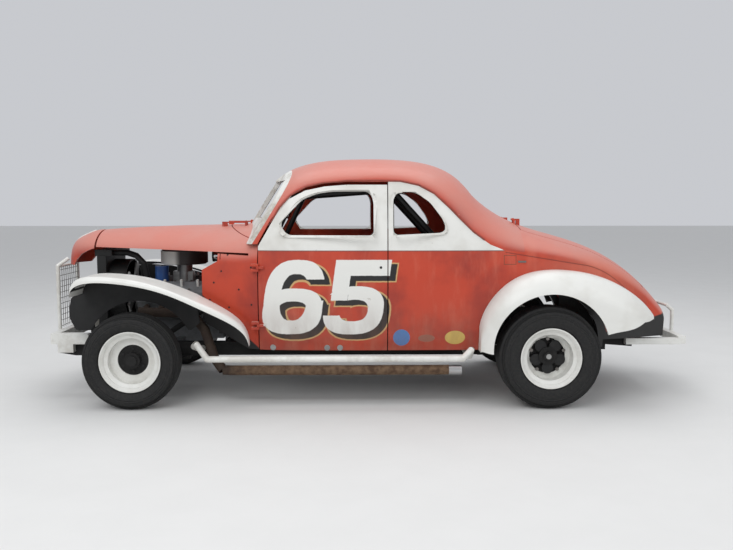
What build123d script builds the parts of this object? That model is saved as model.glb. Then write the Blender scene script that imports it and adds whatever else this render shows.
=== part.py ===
"""A late-1930s coupe rebuilt as an oval-track stock car, at full size, in millimetres.

The car stands on the plane Z = 0 with its nose towards -X and its left side towards -Y.
The origin is on the ground, at the middle of the overall length and width.
A station is a distance behind the middle of the wheelbase.
"""

import os

from build123d import *

os.makedirs("parts", exist_ok=True)

# Overall layout
wheelbase = 2850.0
front_overhang = 705.0  # front axle to the foremost point of the grille guard
rear_overhang = 1085.0  # rear axle to the rearmost point of the rear bumper
front_axle_x = front_overhang - (front_overhang + wheelbase + rear_overhang) / 2
rear_axle_x = front_axle_x + wheelbase
middle_x = front_axle_x + wheelbase / 2
front_axle = -wheelbase / 2  # stations of the axles
rear_axle = wheelbase / 2
shut_gap = 7.0  # round a door, a lid or the hood
seat_gap = 0.3  # between fixed pieces that sit on one another
running_fit = 0.05  # radial, between a pin or a shaft and its bore

# Wheels, measured from the ground and the middle of the car
front_tyre_radius = 330.0
rear_tyre_radius = 352.0
front_tyre_width = 190.0
rear_tyre_width = 240.0
front_wheel_y = 730.0
rear_wheel_y = 712.0
front_rim_half = 70.0
rear_rim_half = 108.0
lip_radius = 208.0
bead_radius = 191.0
drop_radius = 166.0
rim_wall = 7.0
front_disc_depth = 88.0  # rim edge to the outer face of the disc
rear_disc_depth = 128.0
disc_wall = 7.0
front_hole_radius = 106.0
rear_hole_radius = 124.0
tab_count = 5
tab_radius = 24.0
drum_radius = 142.0
drum_width = 58.0
spindle_radius = 22.0

# Steering
kingpin_y = 606.0
kingpin_radius = 13.0
knuckle_low_z = 288.0
knuckle_high_z = 372.0
arm_reach = 150.0  # kingpin to the tie-rod pin, straight back
rod_z = 250.0
rod_radius = 11.0
pin_radius = 8.0
pitman_y = -325.0

# Frame
rail_y = 375.0
rail_width = 50.0
tank_high_z = 1056.0  # top of the radiator
rail_low_z = 300.0
rail_high_z = 398.0
inner_rail_y = rail_y - rail_width / 2
outer_rail_y = rail_y + rail_width / 2

# Steering column, from the steering box up to the wheel: (station, y, z)
column_low = (-1370.0, -320.0, 386.0)
column_high = (-440.0, -320.0, 995.0)
column_radius = 20.0
steering_wheel_radius = 175.0

# Body shell
side_wall = 42.0
roof_wall = 28.0
end_wall = 36.0
sill_z = 384.0
widest_z = 850.0
side_tuck = 96.0  # how far a side leans in at tuck_height above its widest line
tuck_height = 700.0
cabin_sections = (
    # (station, plan half-width, rail height, top height)
    (-745, 606, 1000, 1370),
    (-620, 650, 1075, 1478),
    (-480, 682, 1262, 1590),
    (-345, 694, 1448, 1664),
    (-150, 702, 1527, 1712),
    (100, 706, 1548, 1728),
    (400, 706, 1546, 1725),
    (620, 704, 1470, 1697),
    (800, 700, 1305, 1628),
    (950, 694, 1165, 1485),
)
deck_sections = (
    (950, 694, 1165, 1485),
    (1262, 675, 1060, 1268),
    (1600, 645, 1005, 1158),
    (1911, 590, 890, 1044),
    (2175, 505, 720, 864),
    (2340, 440, 560, 697),
)
nose_sections = (
    # (station, plan half-width, rail height, top height)
    (-1810, 290, 1030, 1200),
    (-1490, 345, 1010, 1220),
    (-1170, 425, 995, 1232),
    (-900, 530, 985, 1238),
    (-700, 612, 985, 1245),
    (-560, 668, 1010, 1256),
)
grille_sections = (
    (-2076, 40, 900, 965),
    (-2045, 120, 960, 1098),
    (-1985, 205, 1000, 1148),
    (-1905, 262, 1015, 1184),
    (-1818, 289, 1030, 1199),
)
hood_wall = 14.0


def side_half(plan_half, z):
    """Half-width of the body at height z, for a plan half-width."""
    return plan_half - side_tuck * ((z - widest_z) / tuck_height) ** 2


def body_section(station, plan_half, rail_z, top_z, bottom_z):
    """One closed cross-section of the body, from its sills over the roof."""
    middle_z = (bottom_z + rail_z) / 2
    rail_half = side_half(plan_half, rail_z)
    low_half = side_half(plan_half, bottom_z)
    middle_half = side_half(plan_half, middle_z)
    plane = Plane(origin=(middle_x + station, 0, 0), x_dir=(0, 1, 0), z_dir=(1, 0, 0))
    with BuildSketch(plane) as section:
        with BuildLine():
            ThreePointArc((low_half, bottom_z), (middle_half, middle_z), (rail_half, rail_z))
            EllipticalCenterArc((0, rail_z), rail_half, top_z - rail_z, 0, arc_size=180)
            ThreePointArc((-rail_half, rail_z), (-middle_half, middle_z), (-low_half, bottom_z))
            Line((-low_half, bottom_z), (low_half, bottom_z))
        make_face()
    return section.sketch


def body_loft(table, bottom_z, side_inset=0.0, top_inset=0.0):
    """A solid through the sections of a table, grown or shrunk evenly."""
    sections = [
        body_section(station, half - side_inset, rail_z - top_inset / 8, top_z - top_inset, bottom_z)
        for station, half, rail_z, top_z in table
    ]
    with BuildPart() as body:
        loft(sections)
    return body.part


def side_block(points, y_low, y_high):
    """A block with an outline of (station, z) points, between two Y planes."""
    plane = Plane(origin=(middle_x, y_high, 0), x_dir=(1, 0, 0), z_dir=(0, -1, 0))
    with BuildPart() as block:
        with BuildSketch(plane):
            with BuildLine():
                Polyline(points, close=True)
            make_face()
        extrude(amount=y_high - y_low)
    return block.part


def plan_block(points, z_low, z_high):
    """A block with an outline of (station, y) points, between two heights."""
    with BuildPart() as block:
        with BuildSketch(Plane(origin=(middle_x, 0, z_low))):
            with BuildLine():
                Polyline(points, close=True)
            make_face()
        extrude(amount=z_high - z_low)
    return block.part


def box(station_low, station_high, y_low, y_high, z_low, z_high):
    """A plain box between three pairs of planes."""
    with BuildPart() as block:
        with Locations((middle_x + (station_low + station_high) / 2, (y_low + y_high) / 2, z_low)):
            Box(
                station_high - station_low,
                y_high - y_low,
                z_high - z_low,
                align=(Align.CENTER, Align.CENTER, Align.MIN),
            )
    return block.part


def rod(start, end, radius):
    """A round bar between two (station, y, z) points."""
    first = Vector(middle_x + start[0], start[1], start[2])
    last = Vector(middle_x + end[0], end[1], end[2])
    with BuildPart() as bar:
        with BuildSketch(Plane(origin=first, z_dir=last - first)):
            Circle(radius)
        extrude(amount=(last - first).length)
    return bar.part


def tube(points, radius):
    """A bent round bar through (station, y, z) points."""
    with BuildPart() as bent:
        with BuildLine() as path:
            Polyline([(middle_x + x, y, z) for x, y, z in points])
        with BuildSketch(Plane(origin=path.line @ 0, z_dir=path.line % 0)):
            Circle(radius)
        sweep(transition=Transition.ROUND)
    return bent.part


def both_sides(piece):
    """A left-hand piece together with its right-hand twin."""
    twin = mirror(piece, Plane.XZ)
    with BuildPart() as pair:
        add(piece)
        add(twin)
    return pair.part


def ring(radius, bore, y_low, y_high, station, z):
    """A washer-shaped block round an axis along Y."""
    with BuildPart() as block:
        with BuildSketch(Plane(origin=(middle_x + station, y_high, z), x_dir=(1, 0, 0), z_dir=(0, -1, 0))):
            Circle(radius)
            if bore > 0:
                Circle(bore, mode=Mode.SUBTRACT)
        extrude(amount=y_high - y_low)
    return block.part


def post(radius, bore, z_low, z_high, station, y):
    """A washer-shaped block round an upright axis."""
    with BuildPart() as block:
        with BuildSketch(Plane(origin=(middle_x + station, y, z_low))):
            Circle(radius)
            if bore > 0:
                Circle(bore, mode=Mode.SUBTRACT)
        extrude(amount=z_high - z_low)
    return block.part


def whole_body(side_inset, top_inset, bottom_z):
    """The cabin and the rear deck as one solid."""
    cabin = body_loft(cabin_sections, bottom_z, side_inset, top_inset)
    deck = body_loft(deck_sections, bottom_z, side_inset, top_inset)
    with BuildPart() as body:
        add(cabin)
        add(deck)
    return body.part


# Whole shells, before they are cut into panels
body_outside = whole_body(0, 0, sill_z)
body_inside = whole_body(side_wall, roof_wall, sill_z - 60)
deck_seat = body_loft(deck_sections, sill_z - 60, -seat_gap, -seat_gap)
nose_outside = body_loft(nose_sections, sill_z)
nose_inside = body_loft(nose_sections, sill_z - 60, hood_wall, hood_wall)
nose_deep = body_loft(nose_sections, sill_z - 60, side_wall, roof_wall)
nose_seat = body_loft(nose_sections, sill_z - 60, -seat_gap, -seat_gap)
grille_low_z = 800.0
grille_outside = body_loft(grille_sections, grille_low_z)
grille_inside = body_loft(grille_sections, grille_low_z - 60, hood_wall, hood_wall)

tail_edge_z = 440.0
with BuildPart() as body_shell:
    add(body_outside)
    add(body_inside.moved(Location((-end_wall, 0, 0))), mode=Mode.SUBTRACT)
    add(box(1850, 2500, -900, 900, 300, tail_edge_z), mode=Mode.SUBTRACT)

# The windshield is a shallow V, so each half has its own slanted plane
glass_angle = 12.0  # how far each half sweeps back
glass_base = (-701, 1242)
glass_top = (-487, 1587)
glass_slope = (glass_top[0] - glass_base[0]) / (glass_top[1] - glass_base[1])


def glass_block(front, back):
    """A slab of both halves, between two distances behind the windshield's outer plane."""
    low_z = 900
    high_z = 1800
    low = glass_base[0] + (low_z - glass_base[1]) * glass_slope
    high = glass_base[0] + (high_z - glass_base[1]) * glass_slope
    points = [(low + front, low_z), (low + back, low_z), (high + back, high_z), (high + front, high_z)]
    pivot = Location((middle_x + glass_base[0], 0, 0))
    slab = side_block(points, -900, 0).moved(pivot.inverse())
    half = slab.moved(pivot * Location((0, 0, 0), (0, 0, 1), glass_angle))
    return both_sides(half)


glass_front = glass_block(-900, 0)
windshield_wall = 30.0
frame_slab = glass_block(seat_gap, windshield_wall)

# Cut lines seen from the side
door_front = -568.0
door_rear = 318.0
door_outline = (
    (door_front, 378),
    (door_front, 1105),
    (-500, 1222),
    (-430, 1342),
    (-355, 1428),
    (-245, 1486),
    (-110, 1514),
    (40, 1526),
    (door_rear, 1526),
    (door_rear, 378),
)
door_opening = (
    (door_front - shut_gap, 300),
    (door_front - shut_gap, 1108),
    (-506, 1227),
    (-436, 1347),
    (-359, 1434),
    (-248, 1493),
    (-112, 1521),
    (39, 1533),
    (door_rear + shut_gap, 1533),
    (door_rear + shut_gap, 300),
)
roof_outline = (
    (-800, 1120),
    (-574, 1120),
    (-482, 1285),
    (-418, 1376),
    (-345, 1452),
    (-240, 1509),
    (-114, 1536),
    (41, 1546),
    (408, 1546),
    (533, 1518),
    (639, 1461),
    (745, 1362),
    (831, 1273),
    (909, 1197),
    (1025, 1117),
    (1129, 1076),
    (1262, 1064),
    (1262, 1900),
    (-800, 1900),
)
door_window = (
    (-424, 1260),
    (-372, 1180),
    (228, 1180),
    (228, 1424),
    (196, 1482),
    (-60, 1480),
    (-165, 1465),
    (-268, 1425),
)
quarter_window = (
    (358, 1182),
    (356, 1448),
    (408, 1478),
    (509, 1478),
    (612, 1407),
    (697, 1294),
    (722, 1233),
    (706, 1198),
)
lid_front = 1284.0
lid_rear = 2170.0
lid_half = 430.0
arch_radius = 392.0
arch_z = 405.0

door_cut = side_block(door_outline, -900, -300)
door_space = both_sides(side_block(door_opening, -900, -300))
roof_cut = side_block(roof_outline, -900, 900)
door_glass = side_block(door_window, -900, -300)
quarter_glass = both_sides(side_block(quarter_window, -900, -300))
rear_glass = box(700, 1150, -250, 250, 1400, 1560)
lid_cut = box(lid_front, lid_rear, -lid_half, lid_half, 700, 1400)
lid_space = box(
    lid_front - shut_gap, lid_rear + shut_gap, -lid_half - shut_gap, lid_half + shut_gap, 700, 1400
)
tail_station = 2182.0
tail_cut = box(tail_station, 2500, -900, 900, 300, 1400)
arch_cut = ring(arch_radius, 0, -1000, 1000, rear_axle, arch_z)


def largest(piece):
    """The largest solid of a piece, without slivers that a cut leaves."""
    solid = piece.solids().sort_by(SortBy.VOLUME)[-1]
    with BuildPart() as kept:
        add(solid)
    return kept.part


with BuildPart() as roof_blank:
    add(body_shell.part)
    add(roof_cut, mode=Mode.INTERSECT)
    add(glass_front, mode=Mode.SUBTRACT)
    add(frame_slab, mode=Mode.SUBTRACT)
    add(door_space, mode=Mode.SUBTRACT)
    add(rear_glass, mode=Mode.SUBTRACT)
    add(nose_seat, mode=Mode.SUBTRACT)
with BuildPart() as roof:
    add(largest(roof_blank.part))
roof.part.label = "roof"
export_step(roof.part, "parts/roof.step")

# Windshield frame: a slanted plate of two halves with two openings
glass_low_z = 1290.0
glass_high_z = 1560.0
glass_bar = 18.0  # half-width of the centre bar
glass_half = 470.0
with BuildPart() as windshield_blank:
    add(body_outside)
    add(frame_slab, mode=Mode.INTERSECT)
    add(roof_cut, mode=Mode.INTERSECT)
    add(nose_seat, mode=Mode.SUBTRACT)
    add(door_space, mode=Mode.SUBTRACT)
    add(box(-900, 0, glass_bar, glass_half, glass_low_z, glass_high_z), mode=Mode.SUBTRACT)
    add(box(-900, 0, -glass_half, -glass_bar, glass_low_z, glass_high_z), mode=Mode.SUBTRACT)
with BuildPart() as windshield_frame:
    add(largest(windshield_blank.part))
windshield_frame.part.label = "windshield_frame"
export_step(windshield_frame.part, "parts/windshield_frame.step")

# Hinges: z or y of each hinge, and the sizes of its barrel
hinge_radius = 9.0
hinge_pin_radius = 5.0
door_hinge_x = door_front - shut_gap / 2
door_hinge_y = 682.0
door_hinge_zs = (560.0, 960.0)
hinge_half = 26.0
lid_hinge_x = lid_front - 22.0
lid_hinge_z = 1281.0
lid_hinge_ys = (-230.0, 230.0)
hood_hinge_x = -716.0
hood_hinge_z = 1262.0
hood_hinge_ys = (-150.0, 150.0)

with BuildPart() as rear_body:
    add(body_shell.part)
    add(roof_cut, mode=Mode.SUBTRACT)
    add(box(door_rear + shut_gap, tail_station - seat_gap, -900, 900, 300, 1700), mode=Mode.INTERSECT)
    add(quarter_glass, mode=Mode.SUBTRACT)
    add(lid_space, mode=Mode.SUBTRACT)
    add(arch_cut, mode=Mode.SUBTRACT)
    for y in lid_hinge_ys:
        for low, high in ((y - hinge_half, y - 10), (y + 10, y + hinge_half)):
            add(box(lid_hinge_x + 1, lid_front - shut_gap - 1, low, high, 1245, lid_hinge_z))
            add(ring(hinge_radius, 0, low, high, lid_hinge_x, lid_hinge_z))
        add(ring(hinge_pin_radius, 0, y - hinge_half, y + hinge_half, lid_hinge_x, lid_hinge_z))
rear_body.part.label = "rear_body"
export_step(rear_body.part, "parts/rear_body.step")

with BuildPart() as tail_panel:
    add(body_shell.part)
    add(tail_cut, mode=Mode.INTERSECT)
tail_panel.part.label = "tail_panel"
export_step(tail_panel.part, "parts/tail_panel.step")

with BuildPart() as door_left:
    add(body_shell.part)
    add(door_cut, mode=Mode.INTERSECT)
    add(door_glass, mode=Mode.SUBTRACT)
    for z in door_hinge_zs:
        add(box(door_front, door_front + 40, -door_hinge_y - 4, -650, z - 8, z + 8))
        add(post(hinge_radius, 0, z - 8, z + 8, door_hinge_x, -door_hinge_y))
        add(
            post(hinge_pin_radius + running_fit, 0, z - 9, z + 9, door_hinge_x, -door_hinge_y),
            mode=Mode.SUBTRACT,
        )
door_left.part.label = "door_left"
export_step(door_left.part, "parts/door_left.step")

with BuildPart() as door_right:
    add(mirror(door_left.part, Plane.XZ))
door_right.part.label = "door_right"
export_step(door_right.part, "parts/door_right.step")

with BuildPart() as decklid:
    add(body_shell.part)
    add(lid_cut, mode=Mode.INTERSECT)
    for y in lid_hinge_ys:
        add(box(lid_hinge_x, lid_front + 5, y - 8, y + 8, lid_hinge_z - 8, lid_hinge_z + 4))
        add(box(lid_front + 2, lid_front + 30, y - 8, y + 8, 1230, lid_hinge_z + 4))
        add(ring(hinge_radius, 0, y - 8, y + 8, lid_hinge_x, lid_hinge_z))
        add(
            ring(hinge_pin_radius + running_fit, 0, y - 9, y + 9, lid_hinge_x, lid_hinge_z),
            mode=Mode.SUBTRACT,
        )
decklid.part.label = "decklid"
export_step(decklid.part, "parts/decklid.step")

# Hood: cut in plan by an arc behind, and level along its lower edge
hood_arc_radius = 700.0
hood_rear = -837.0
hood_side = ((-1804, 1081), (-1450, 1071), (-1089, 1062), (-640, 1055), (-640, 1500), (-1804, 1500))
hood_space = ((-1900, 1076), (-1450, 1064), (-1089, 1055), (-640, 1038), (-640, 1500), (-1900, 1500))
hood_arc = post(hood_arc_radius, 0, 900, 1600, hood_rear + hood_arc_radius, 0)
hood_arc_wide = post(hood_arc_radius + shut_gap, 0, 900, 1600, hood_rear + hood_arc_radius, 0)

with BuildPart() as hood:
    add(nose_outside)
    add(nose_inside, mode=Mode.SUBTRACT)
    add(side_block(hood_side, -900, 900), mode=Mode.INTERSECT)
    add(hood_arc_wide, mode=Mode.SUBTRACT)
    for y in hood_hinge_ys:
        add(box(hood_rear - 60, hood_hinge_x, y - 8, y + 8, hood_hinge_z - 10, hood_hinge_z))
        add(box(hood_rear - 60, hood_rear - 20, y - 8, y + 8, 1218, hood_hinge_z))
        add(ring(hinge_radius, 0, y - 8, y + 8, hood_hinge_x, hood_hinge_z))
        add(
            ring(hinge_pin_radius + running_fit, 0, y - 9, y + 9, hood_hinge_x, hood_hinge_z),
            mode=Mode.SUBTRACT,
        )
hood.part.label = "hood"
export_step(hood.part, "parts/hood.step")

cowl_side = (
    (-650, sill_z),
    (-988, 560),
    (-988, 930),
    (-846, 1008),
    (-846, 1500),
    (door_front - shut_gap, 1500),
    (door_front - shut_gap, sill_z),
)
firewall_low = -868.0
firewall_high = -852.0
with BuildPart() as firewall_plate:
    add(nose_outside)
    add(box(firewall_low, firewall_high, -900, 900, 480, 1500), mode=Mode.INTERSECT)
hood_room = side_block(hood_space, -900, 900)
with BuildPart() as cowl_blank:
    add(nose_outside)
    add(nose_deep, mode=Mode.SUBTRACT)
    add(side_block(cowl_side, -900, 900), mode=Mode.INTERSECT)
    add(firewall_plate.part)
with BuildPart() as hood_front_room:
    add(hood_room)
    add(hood_arc, mode=Mode.SUBTRACT)
with BuildPart() as cowl:
    add(cowl_blank.part)
    add(hood_front_room.part, mode=Mode.SUBTRACT)
    add(door_space, mode=Mode.SUBTRACT)
    add(rod(column_low, column_high, column_radius + 0.3), mode=Mode.SUBTRACT)
    for z in door_hinge_zs:
        for side in (-1, 1):
            y_pair = sorted((side * 640, side * (door_hinge_y + 4)))
            for low, high in ((z - hinge_half, z - 10), (z + 10, z + hinge_half)):
                add(box(door_hinge_x - 45, door_hinge_x, y_pair[0], y_pair[1], low, high))
                add(post(hinge_radius, 0, low, high, door_hinge_x, side * door_hinge_y))
            add(
                post(
                    hinge_pin_radius, 0, z - hinge_half, z + hinge_half, door_hinge_x, side * door_hinge_y
                )
            )
    for y in hood_hinge_ys:
        for low, high in ((y - hinge_half, y - 10), (y + 10, y + hinge_half)):
            add(box(hood_hinge_x - 8, hood_hinge_x + 8, low, high, 1225, hood_hinge_z))
            add(ring(hinge_radius, 0, low, high, hood_hinge_x, hood_hinge_z))
        add(ring(hinge_pin_radius, 0, y - hinge_half, y + hinge_half, hood_hinge_x, hood_hinge_z))
cowl.part.label = "cowl"
export_step(cowl.part, "parts/cowl.step")

with BuildPart() as grille_shell:
    add(grille_outside)
    add(grille_inside.moved(Location((14, 0, 0))), mode=Mode.SUBTRACT)
    add(
        side_block(
            (
                (-1828, 1068),
                (-1867, 1053),
                (-1915, 1029),
                (-1964, 986),
                (-1995, 942),
                (-2100, 942),
                (-2100, 1300),
                (-1811, 1300),
                (-1811, 1068),
            ),
            -900,
            900,
        ),
        mode=Mode.INTERSECT,
    )
    add(box(-1840, -1811, -40, 40, tank_high_z + seat_gap, 1190))
grille_shell.part.label = "grille_shell"
export_step(grille_shell.part, "parts/grille_shell.step")

# Fenders: one row for each cross-section, front to back
front_fender_sections = (
    # (station, inner y, outer y, crown height, edge height)
    (-1815, 540, 795, 800, 770),
    (-1768, 540, 815, 890, 845),
    (-1650, 540, 828, 912, 872),
    (-1450, 540, 832, 898, 860),
    (-1221, 540, 832, 846, 812),
    (-1000, 540, 826, 758, 722),
    (-800, 540, 806, 664, 622),
    (-690, 540, 770, 585, 545),
    (-630, 540, 730, 440, 425),
)
rear_fender_sections = (
    (956, 500, 752, 560, 383),
    (1000, 500, 790, 690, 383),
    (1110, 500, 834, 824, 383),
    (1300, 500, 858, 925, 383),
    (1461, 500, 864, 944, 383),
    (1700, 480, 858, 919, 480),
    (1900, 440, 836, 850, 540),
    (2057, 380, 790, 750, 590),
    (2146, 360, 730, 640, 606),
)
fender_wall = 16.0


def fender_section(station, y_in, y_out, crown, bottom):
    """One cross-section of a right-hand fender, with a rounded outer shoulder."""
    corner = min(crown - bottom - 6, 0.5 * (y_out - y_in))
    plane = Plane(origin=(middle_x + station, 0, 0), x_dir=(0, 1, 0), z_dir=(1, 0, 0))
    with BuildSketch(plane) as section:
        with BuildLine():
            Line((y_out, bottom), (y_out, crown - corner))
            RadiusArc((y_out, crown - corner), (y_out - corner, crown), -corner)
            Line((y_out - corner, crown), (y_in, crown))
            Line((y_in, crown), (y_in, bottom))
            Line((y_in, bottom), (y_out, bottom))
        make_face()
    return section.sketch


def fender_loft(table, inset, bottom_drop):
    """A solid through the fender sections, shrunk under the skin by an inset."""
    sections = [
        fender_section(
            station + inset * (1 - 2 * (station - table[0][0]) / (table[-1][0] - table[0][0])),
            y_in - inset,
            y_out - inset,
            crown - inset,
            bottom - bottom_drop,
        )
        for station, y_in, y_out, crown, bottom in table
    ]
    with BuildPart() as body:
        loft(sections)
    return body.part


front_fender_outside = fender_loft(front_fender_sections, 0, 0)
front_fender_inside = fender_loft(front_fender_sections, fender_wall, 40)
rear_fender_outside = fender_loft(rear_fender_sections, 0, 0)
rear_fender_inside = fender_loft(rear_fender_sections, fender_wall, 60)

fender_notch = plan_block(((-1010, 400), (-1010, 546), (-560, 696), (-560, 400)), 300, 1000)
with BuildPart() as front_fender:
    add(front_fender_outside)
    add(front_fender_inside, mode=Mode.SUBTRACT)
    add(fender_notch, mode=Mode.SUBTRACT)
front_fender_twin = mirror(front_fender.part, Plane.XZ)
with BuildPart() as front_fenders:
    add(front_fender.part)
    add(front_fender_twin)
front_fenders.part.label = "front_fenders"
export_step(front_fenders.part, "parts/front_fenders.step")

with BuildPart() as rear_fender:
    add(rear_fender_outside)
    add(rear_fender_inside, mode=Mode.SUBTRACT)
    add(deck_seat, mode=Mode.SUBTRACT)
    add(ring(390, 0, 300, 1000, rear_axle, arch_z), mode=Mode.SUBTRACT)
rear_fender_twin = mirror(rear_fender.part, Plane.XZ)
with BuildPart() as rear_fenders:
    add(rear_fender.part)
    add(rear_fender_twin)
rear_fenders.part.label = "rear_fenders"
export_step(rear_fenders.part, "parts/rear_fenders.step")

# Black inner apron of each front fender, arched over the wheel
apron_outline = (
    (-1869, 508),
    (-1910, 587),
    (-1913, 665),
    (-1900, 726),
    (-1870, 779),
    (-1812, 800),
    (-1766, 868),
    (-1650, 892),
    (-1450, 878),
    (-1221, 826),
    (-1030, 750),
    (-1000, 560),
    (-1060, 508),
)
apron_arch = ring(385, 0, 0, 1000, front_axle, front_tyre_radius)
with BuildPart() as apron:
    add(side_block(apron_outline, 528, 539.7))
    add(apron_arch, mode=Mode.SUBTRACT)
    add(box(-1812, -1784, outer_rail_y + seat_gap, outer_rail_y + 10, 340, 545))
    add(box(-1812, -1784, outer_rail_y + 2, 530, 530, 545))
with BuildPart() as fender_aprons:
    add(both_sides(apron.part))
fender_aprons.part.label = "fender_aprons"
export_step(fender_aprons.part, "parts/fender_aprons.step")

# Frame: two rails with a kick-up over the rear axle, and cross members
rail_outline = (
    (-2060, 322),
    (-1930, rail_low_z),
    (1020, rail_low_z),
    (1230, 450),
    (1640, 450),
    (1900, 375),
    (2120, 358),
    (2120, 430),
    (1920, 455),
    (1860, 455),
    (1660, 540),
    (1200, 540),
    (980, rail_high_z),
    (-1930, rail_high_z),
    (-2060, 388),
)
cross_members = (
    # (first station, last station, low z, high z)
    (-1850, -1790, 310, rail_high_z),
    (-1560, -1510, 305, 335),
    (-640, -580, 310, rail_high_z),
    (420, 480, 310, rail_high_z),
    (1880, 1920, 390, 455),
)
with BuildPart() as frame_rails:
    add(side_block(rail_outline, inner_rail_y, outer_rail_y))
    add(side_block(rail_outline, -outer_rail_y, -inner_rail_y))
    for first, last, low, high in cross_members:
        add(box(first, last, -inner_rail_y, inner_rail_y, low, high))
    add(rod((-700, 0, rear_tyre_radius), (600, 0, rear_tyre_radius), 48), mode=Mode.SUBTRACT)
frame_rails.part.label = "frame_rails"
export_step(frame_rails.part, "parts/frame_rails.step")

# Floor with a tunnel over the gearbox
floor_z = rail_high_z + seat_gap
floor_wall = 10.0
tunnel_half = 130.0
floor_outline = (
    (-845, -440),
    (-600, -560),
    (-300, -585),
    (960, -590),
    (960, 590),
    (-300, 585),
    (-600, 560),
    (-845, 440),
)
with BuildPart() as floor_pan:
    add(plan_block(floor_outline, floor_z, floor_z + floor_wall))
    add(box(-900, -380, -tunnel_half, tunnel_half, floor_z - 5, floor_z + 50), mode=Mode.SUBTRACT)
    add(box(-845, -372, -tunnel_half - 8, tunnel_half + 8, floor_z, floor_z + 120))
    add(box(-900, -380, -tunnel_half, tunnel_half, floor_z - 5, floor_z + 112), mode=Mode.SUBTRACT)
    add(rod((-390, 0, rear_tyre_radius), (-300, 0, rear_tyre_radius), 48), mode=Mode.SUBTRACT)
floor_pan.part.label = "floor_pan"
export_step(floor_pan.part, "parts/floor_pan.step")

# Front axle: a dropped beam with a fork and a kingpin at each end
fork_lip = 17.0
beam_outline = (
    (0, 215),
    (470, 215),
    (548, 263),
    (kingpin_y + fork_lip, 263),
    (kingpin_y + fork_lip, knuckle_low_z - 5),
    (kingpin_y - 32, knuckle_low_z - 5),
    (kingpin_y - 32, knuckle_high_z + 5),
    (kingpin_y + fork_lip, knuckle_high_z + 5),
    (kingpin_y + fork_lip, 397),
    (kingpin_y - 54, 397),
    (kingpin_y - 54, 300),
    (450, 265),
    (0, 265),
)
with BuildPart() as axle_half:
    with BuildSketch(Plane(origin=(front_axle_x - 26, 0, 0), x_dir=(0, 1, 0), z_dir=(1, 0, 0))):
        with BuildLine():
            Polyline(beam_outline, close=True)
        make_face()
    extrude(amount=52)
    add(post(kingpin_radius, 0, 263, 397, front_axle, kingpin_y))
with BuildPart() as front_axle_beam:
    add(both_sides(axle_half.part))
front_axle_beam.part.label = "front_axle"
export_step(front_axle_beam.part, "parts/front_axle.step")

# Steering knuckles: eye, spindle, backing plate and an arm with its pins
arm_low_z = knuckle_low_z
arm_high_z = knuckle_low_z + 20
drag_reach = 106.0
pin_low_z = rod_z - 15
backing_y = 638.0
spindle_end_y = front_wheel_y + 6
with BuildPart() as knuckle:
    add(post(26, 0, knuckle_low_z, knuckle_high_z, front_axle, -kingpin_y))
    add(ring(spindle_radius, 0, -spindle_end_y, -kingpin_y, front_axle, front_tyre_radius))
    add(ring(drum_radius, 0, -backing_y - 4, -backing_y, front_axle, front_tyre_radius))
    add(box(front_axle + 10, front_axle + arm_reach, -kingpin_y - 9, -kingpin_y + 9, arm_low_z, arm_high_z))
    add(post(16, 0, arm_low_z, arm_high_z, front_axle + arm_reach, -kingpin_y))
    add(post(pin_radius, 0, pin_low_z, arm_high_z, front_axle + arm_reach, -kingpin_y))
    add(
        post(kingpin_radius + running_fit, 0, knuckle_low_z, knuckle_high_z, front_axle, -kingpin_y),
        mode=Mode.SUBTRACT,
    )
with BuildPart() as knuckle_left:
    add(knuckle.part)
    add(post(pin_radius, 0, pin_low_z, arm_high_z, front_axle + drag_reach, -kingpin_y))
knuckle_left.part.label = "knuckle_left"
export_step(knuckle_left.part, "parts/knuckle_left.step")

with BuildPart() as knuckle_right:
    add(mirror(knuckle.part, Plane.XZ))
knuckle_right.part.label = "knuckle_right"
export_step(knuckle_right.part, "parts/knuckle_right.step")


def link(station, y_first, y_last, radius, eye_radius):
    """A rod across the car with an eye at each end."""
    with BuildPart() as bar:
        add(rod((station, y_first + 8, rod_z), (station, y_last - 8, rod_z), radius))
        for y in (y_first, y_last):
            add(post(eye_radius, 0, rod_z - 13, rod_z + 13, station, y))
        for y in (y_first, y_last):
            add(
                post(pin_radius + running_fit, 0, rod_z - 14, rod_z + 14, station, y),
                mode=Mode.SUBTRACT,
            )
    return bar.part


with BuildPart() as tie_rod:
    add(link(front_axle + arm_reach, -kingpin_y, kingpin_y, rod_radius, 16))
tie_rod.part.label = "tie_rod"
export_step(tie_rod.part, "parts/tie_rod.step")

with BuildPart() as drag_link:
    add(link(front_axle + drag_reach, -kingpin_y, pitman_y, 10, 15))
drag_link.part.label = "drag_link"
export_step(drag_link.part, "parts/drag_link.step")

pitman_low_z = 281.0
sector_radius = 12.0
with BuildPart() as pitman_arm:
    add(
        box(
            front_axle,
            front_axle + drag_reach,
            pitman_y - 9,
            pitman_y + 9,
            pitman_low_z,
            pitman_low_z + 14,
        )
    )
    add(post(18, 0, pitman_low_z, pitman_low_z + 14, front_axle, pitman_y))
    add(post(15, 0, pitman_low_z, pitman_low_z + 14, front_axle + drag_reach, pitman_y))
    add(post(pin_radius, 0, pin_low_z, pitman_low_z + 14, front_axle + drag_reach, pitman_y))
    add(post(sector_radius, 0, pitman_low_z, 400, front_axle, pitman_y))
pitman_arm.part.label = "pitman_arm"
export_step(pitman_arm.part, "parts/pitman_arm.step")

# Steering box with its column
shaft_radius = 10.0
column_first = Vector(*column_low)
column_run = (Vector(*column_high) - column_first).normalized()


def along_column(distance):
    """A point on the column's axis beyond its upper end."""
    place = Vector(*column_high) + column_run * distance
    return (place.X, place.Y, place.Z)


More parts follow.
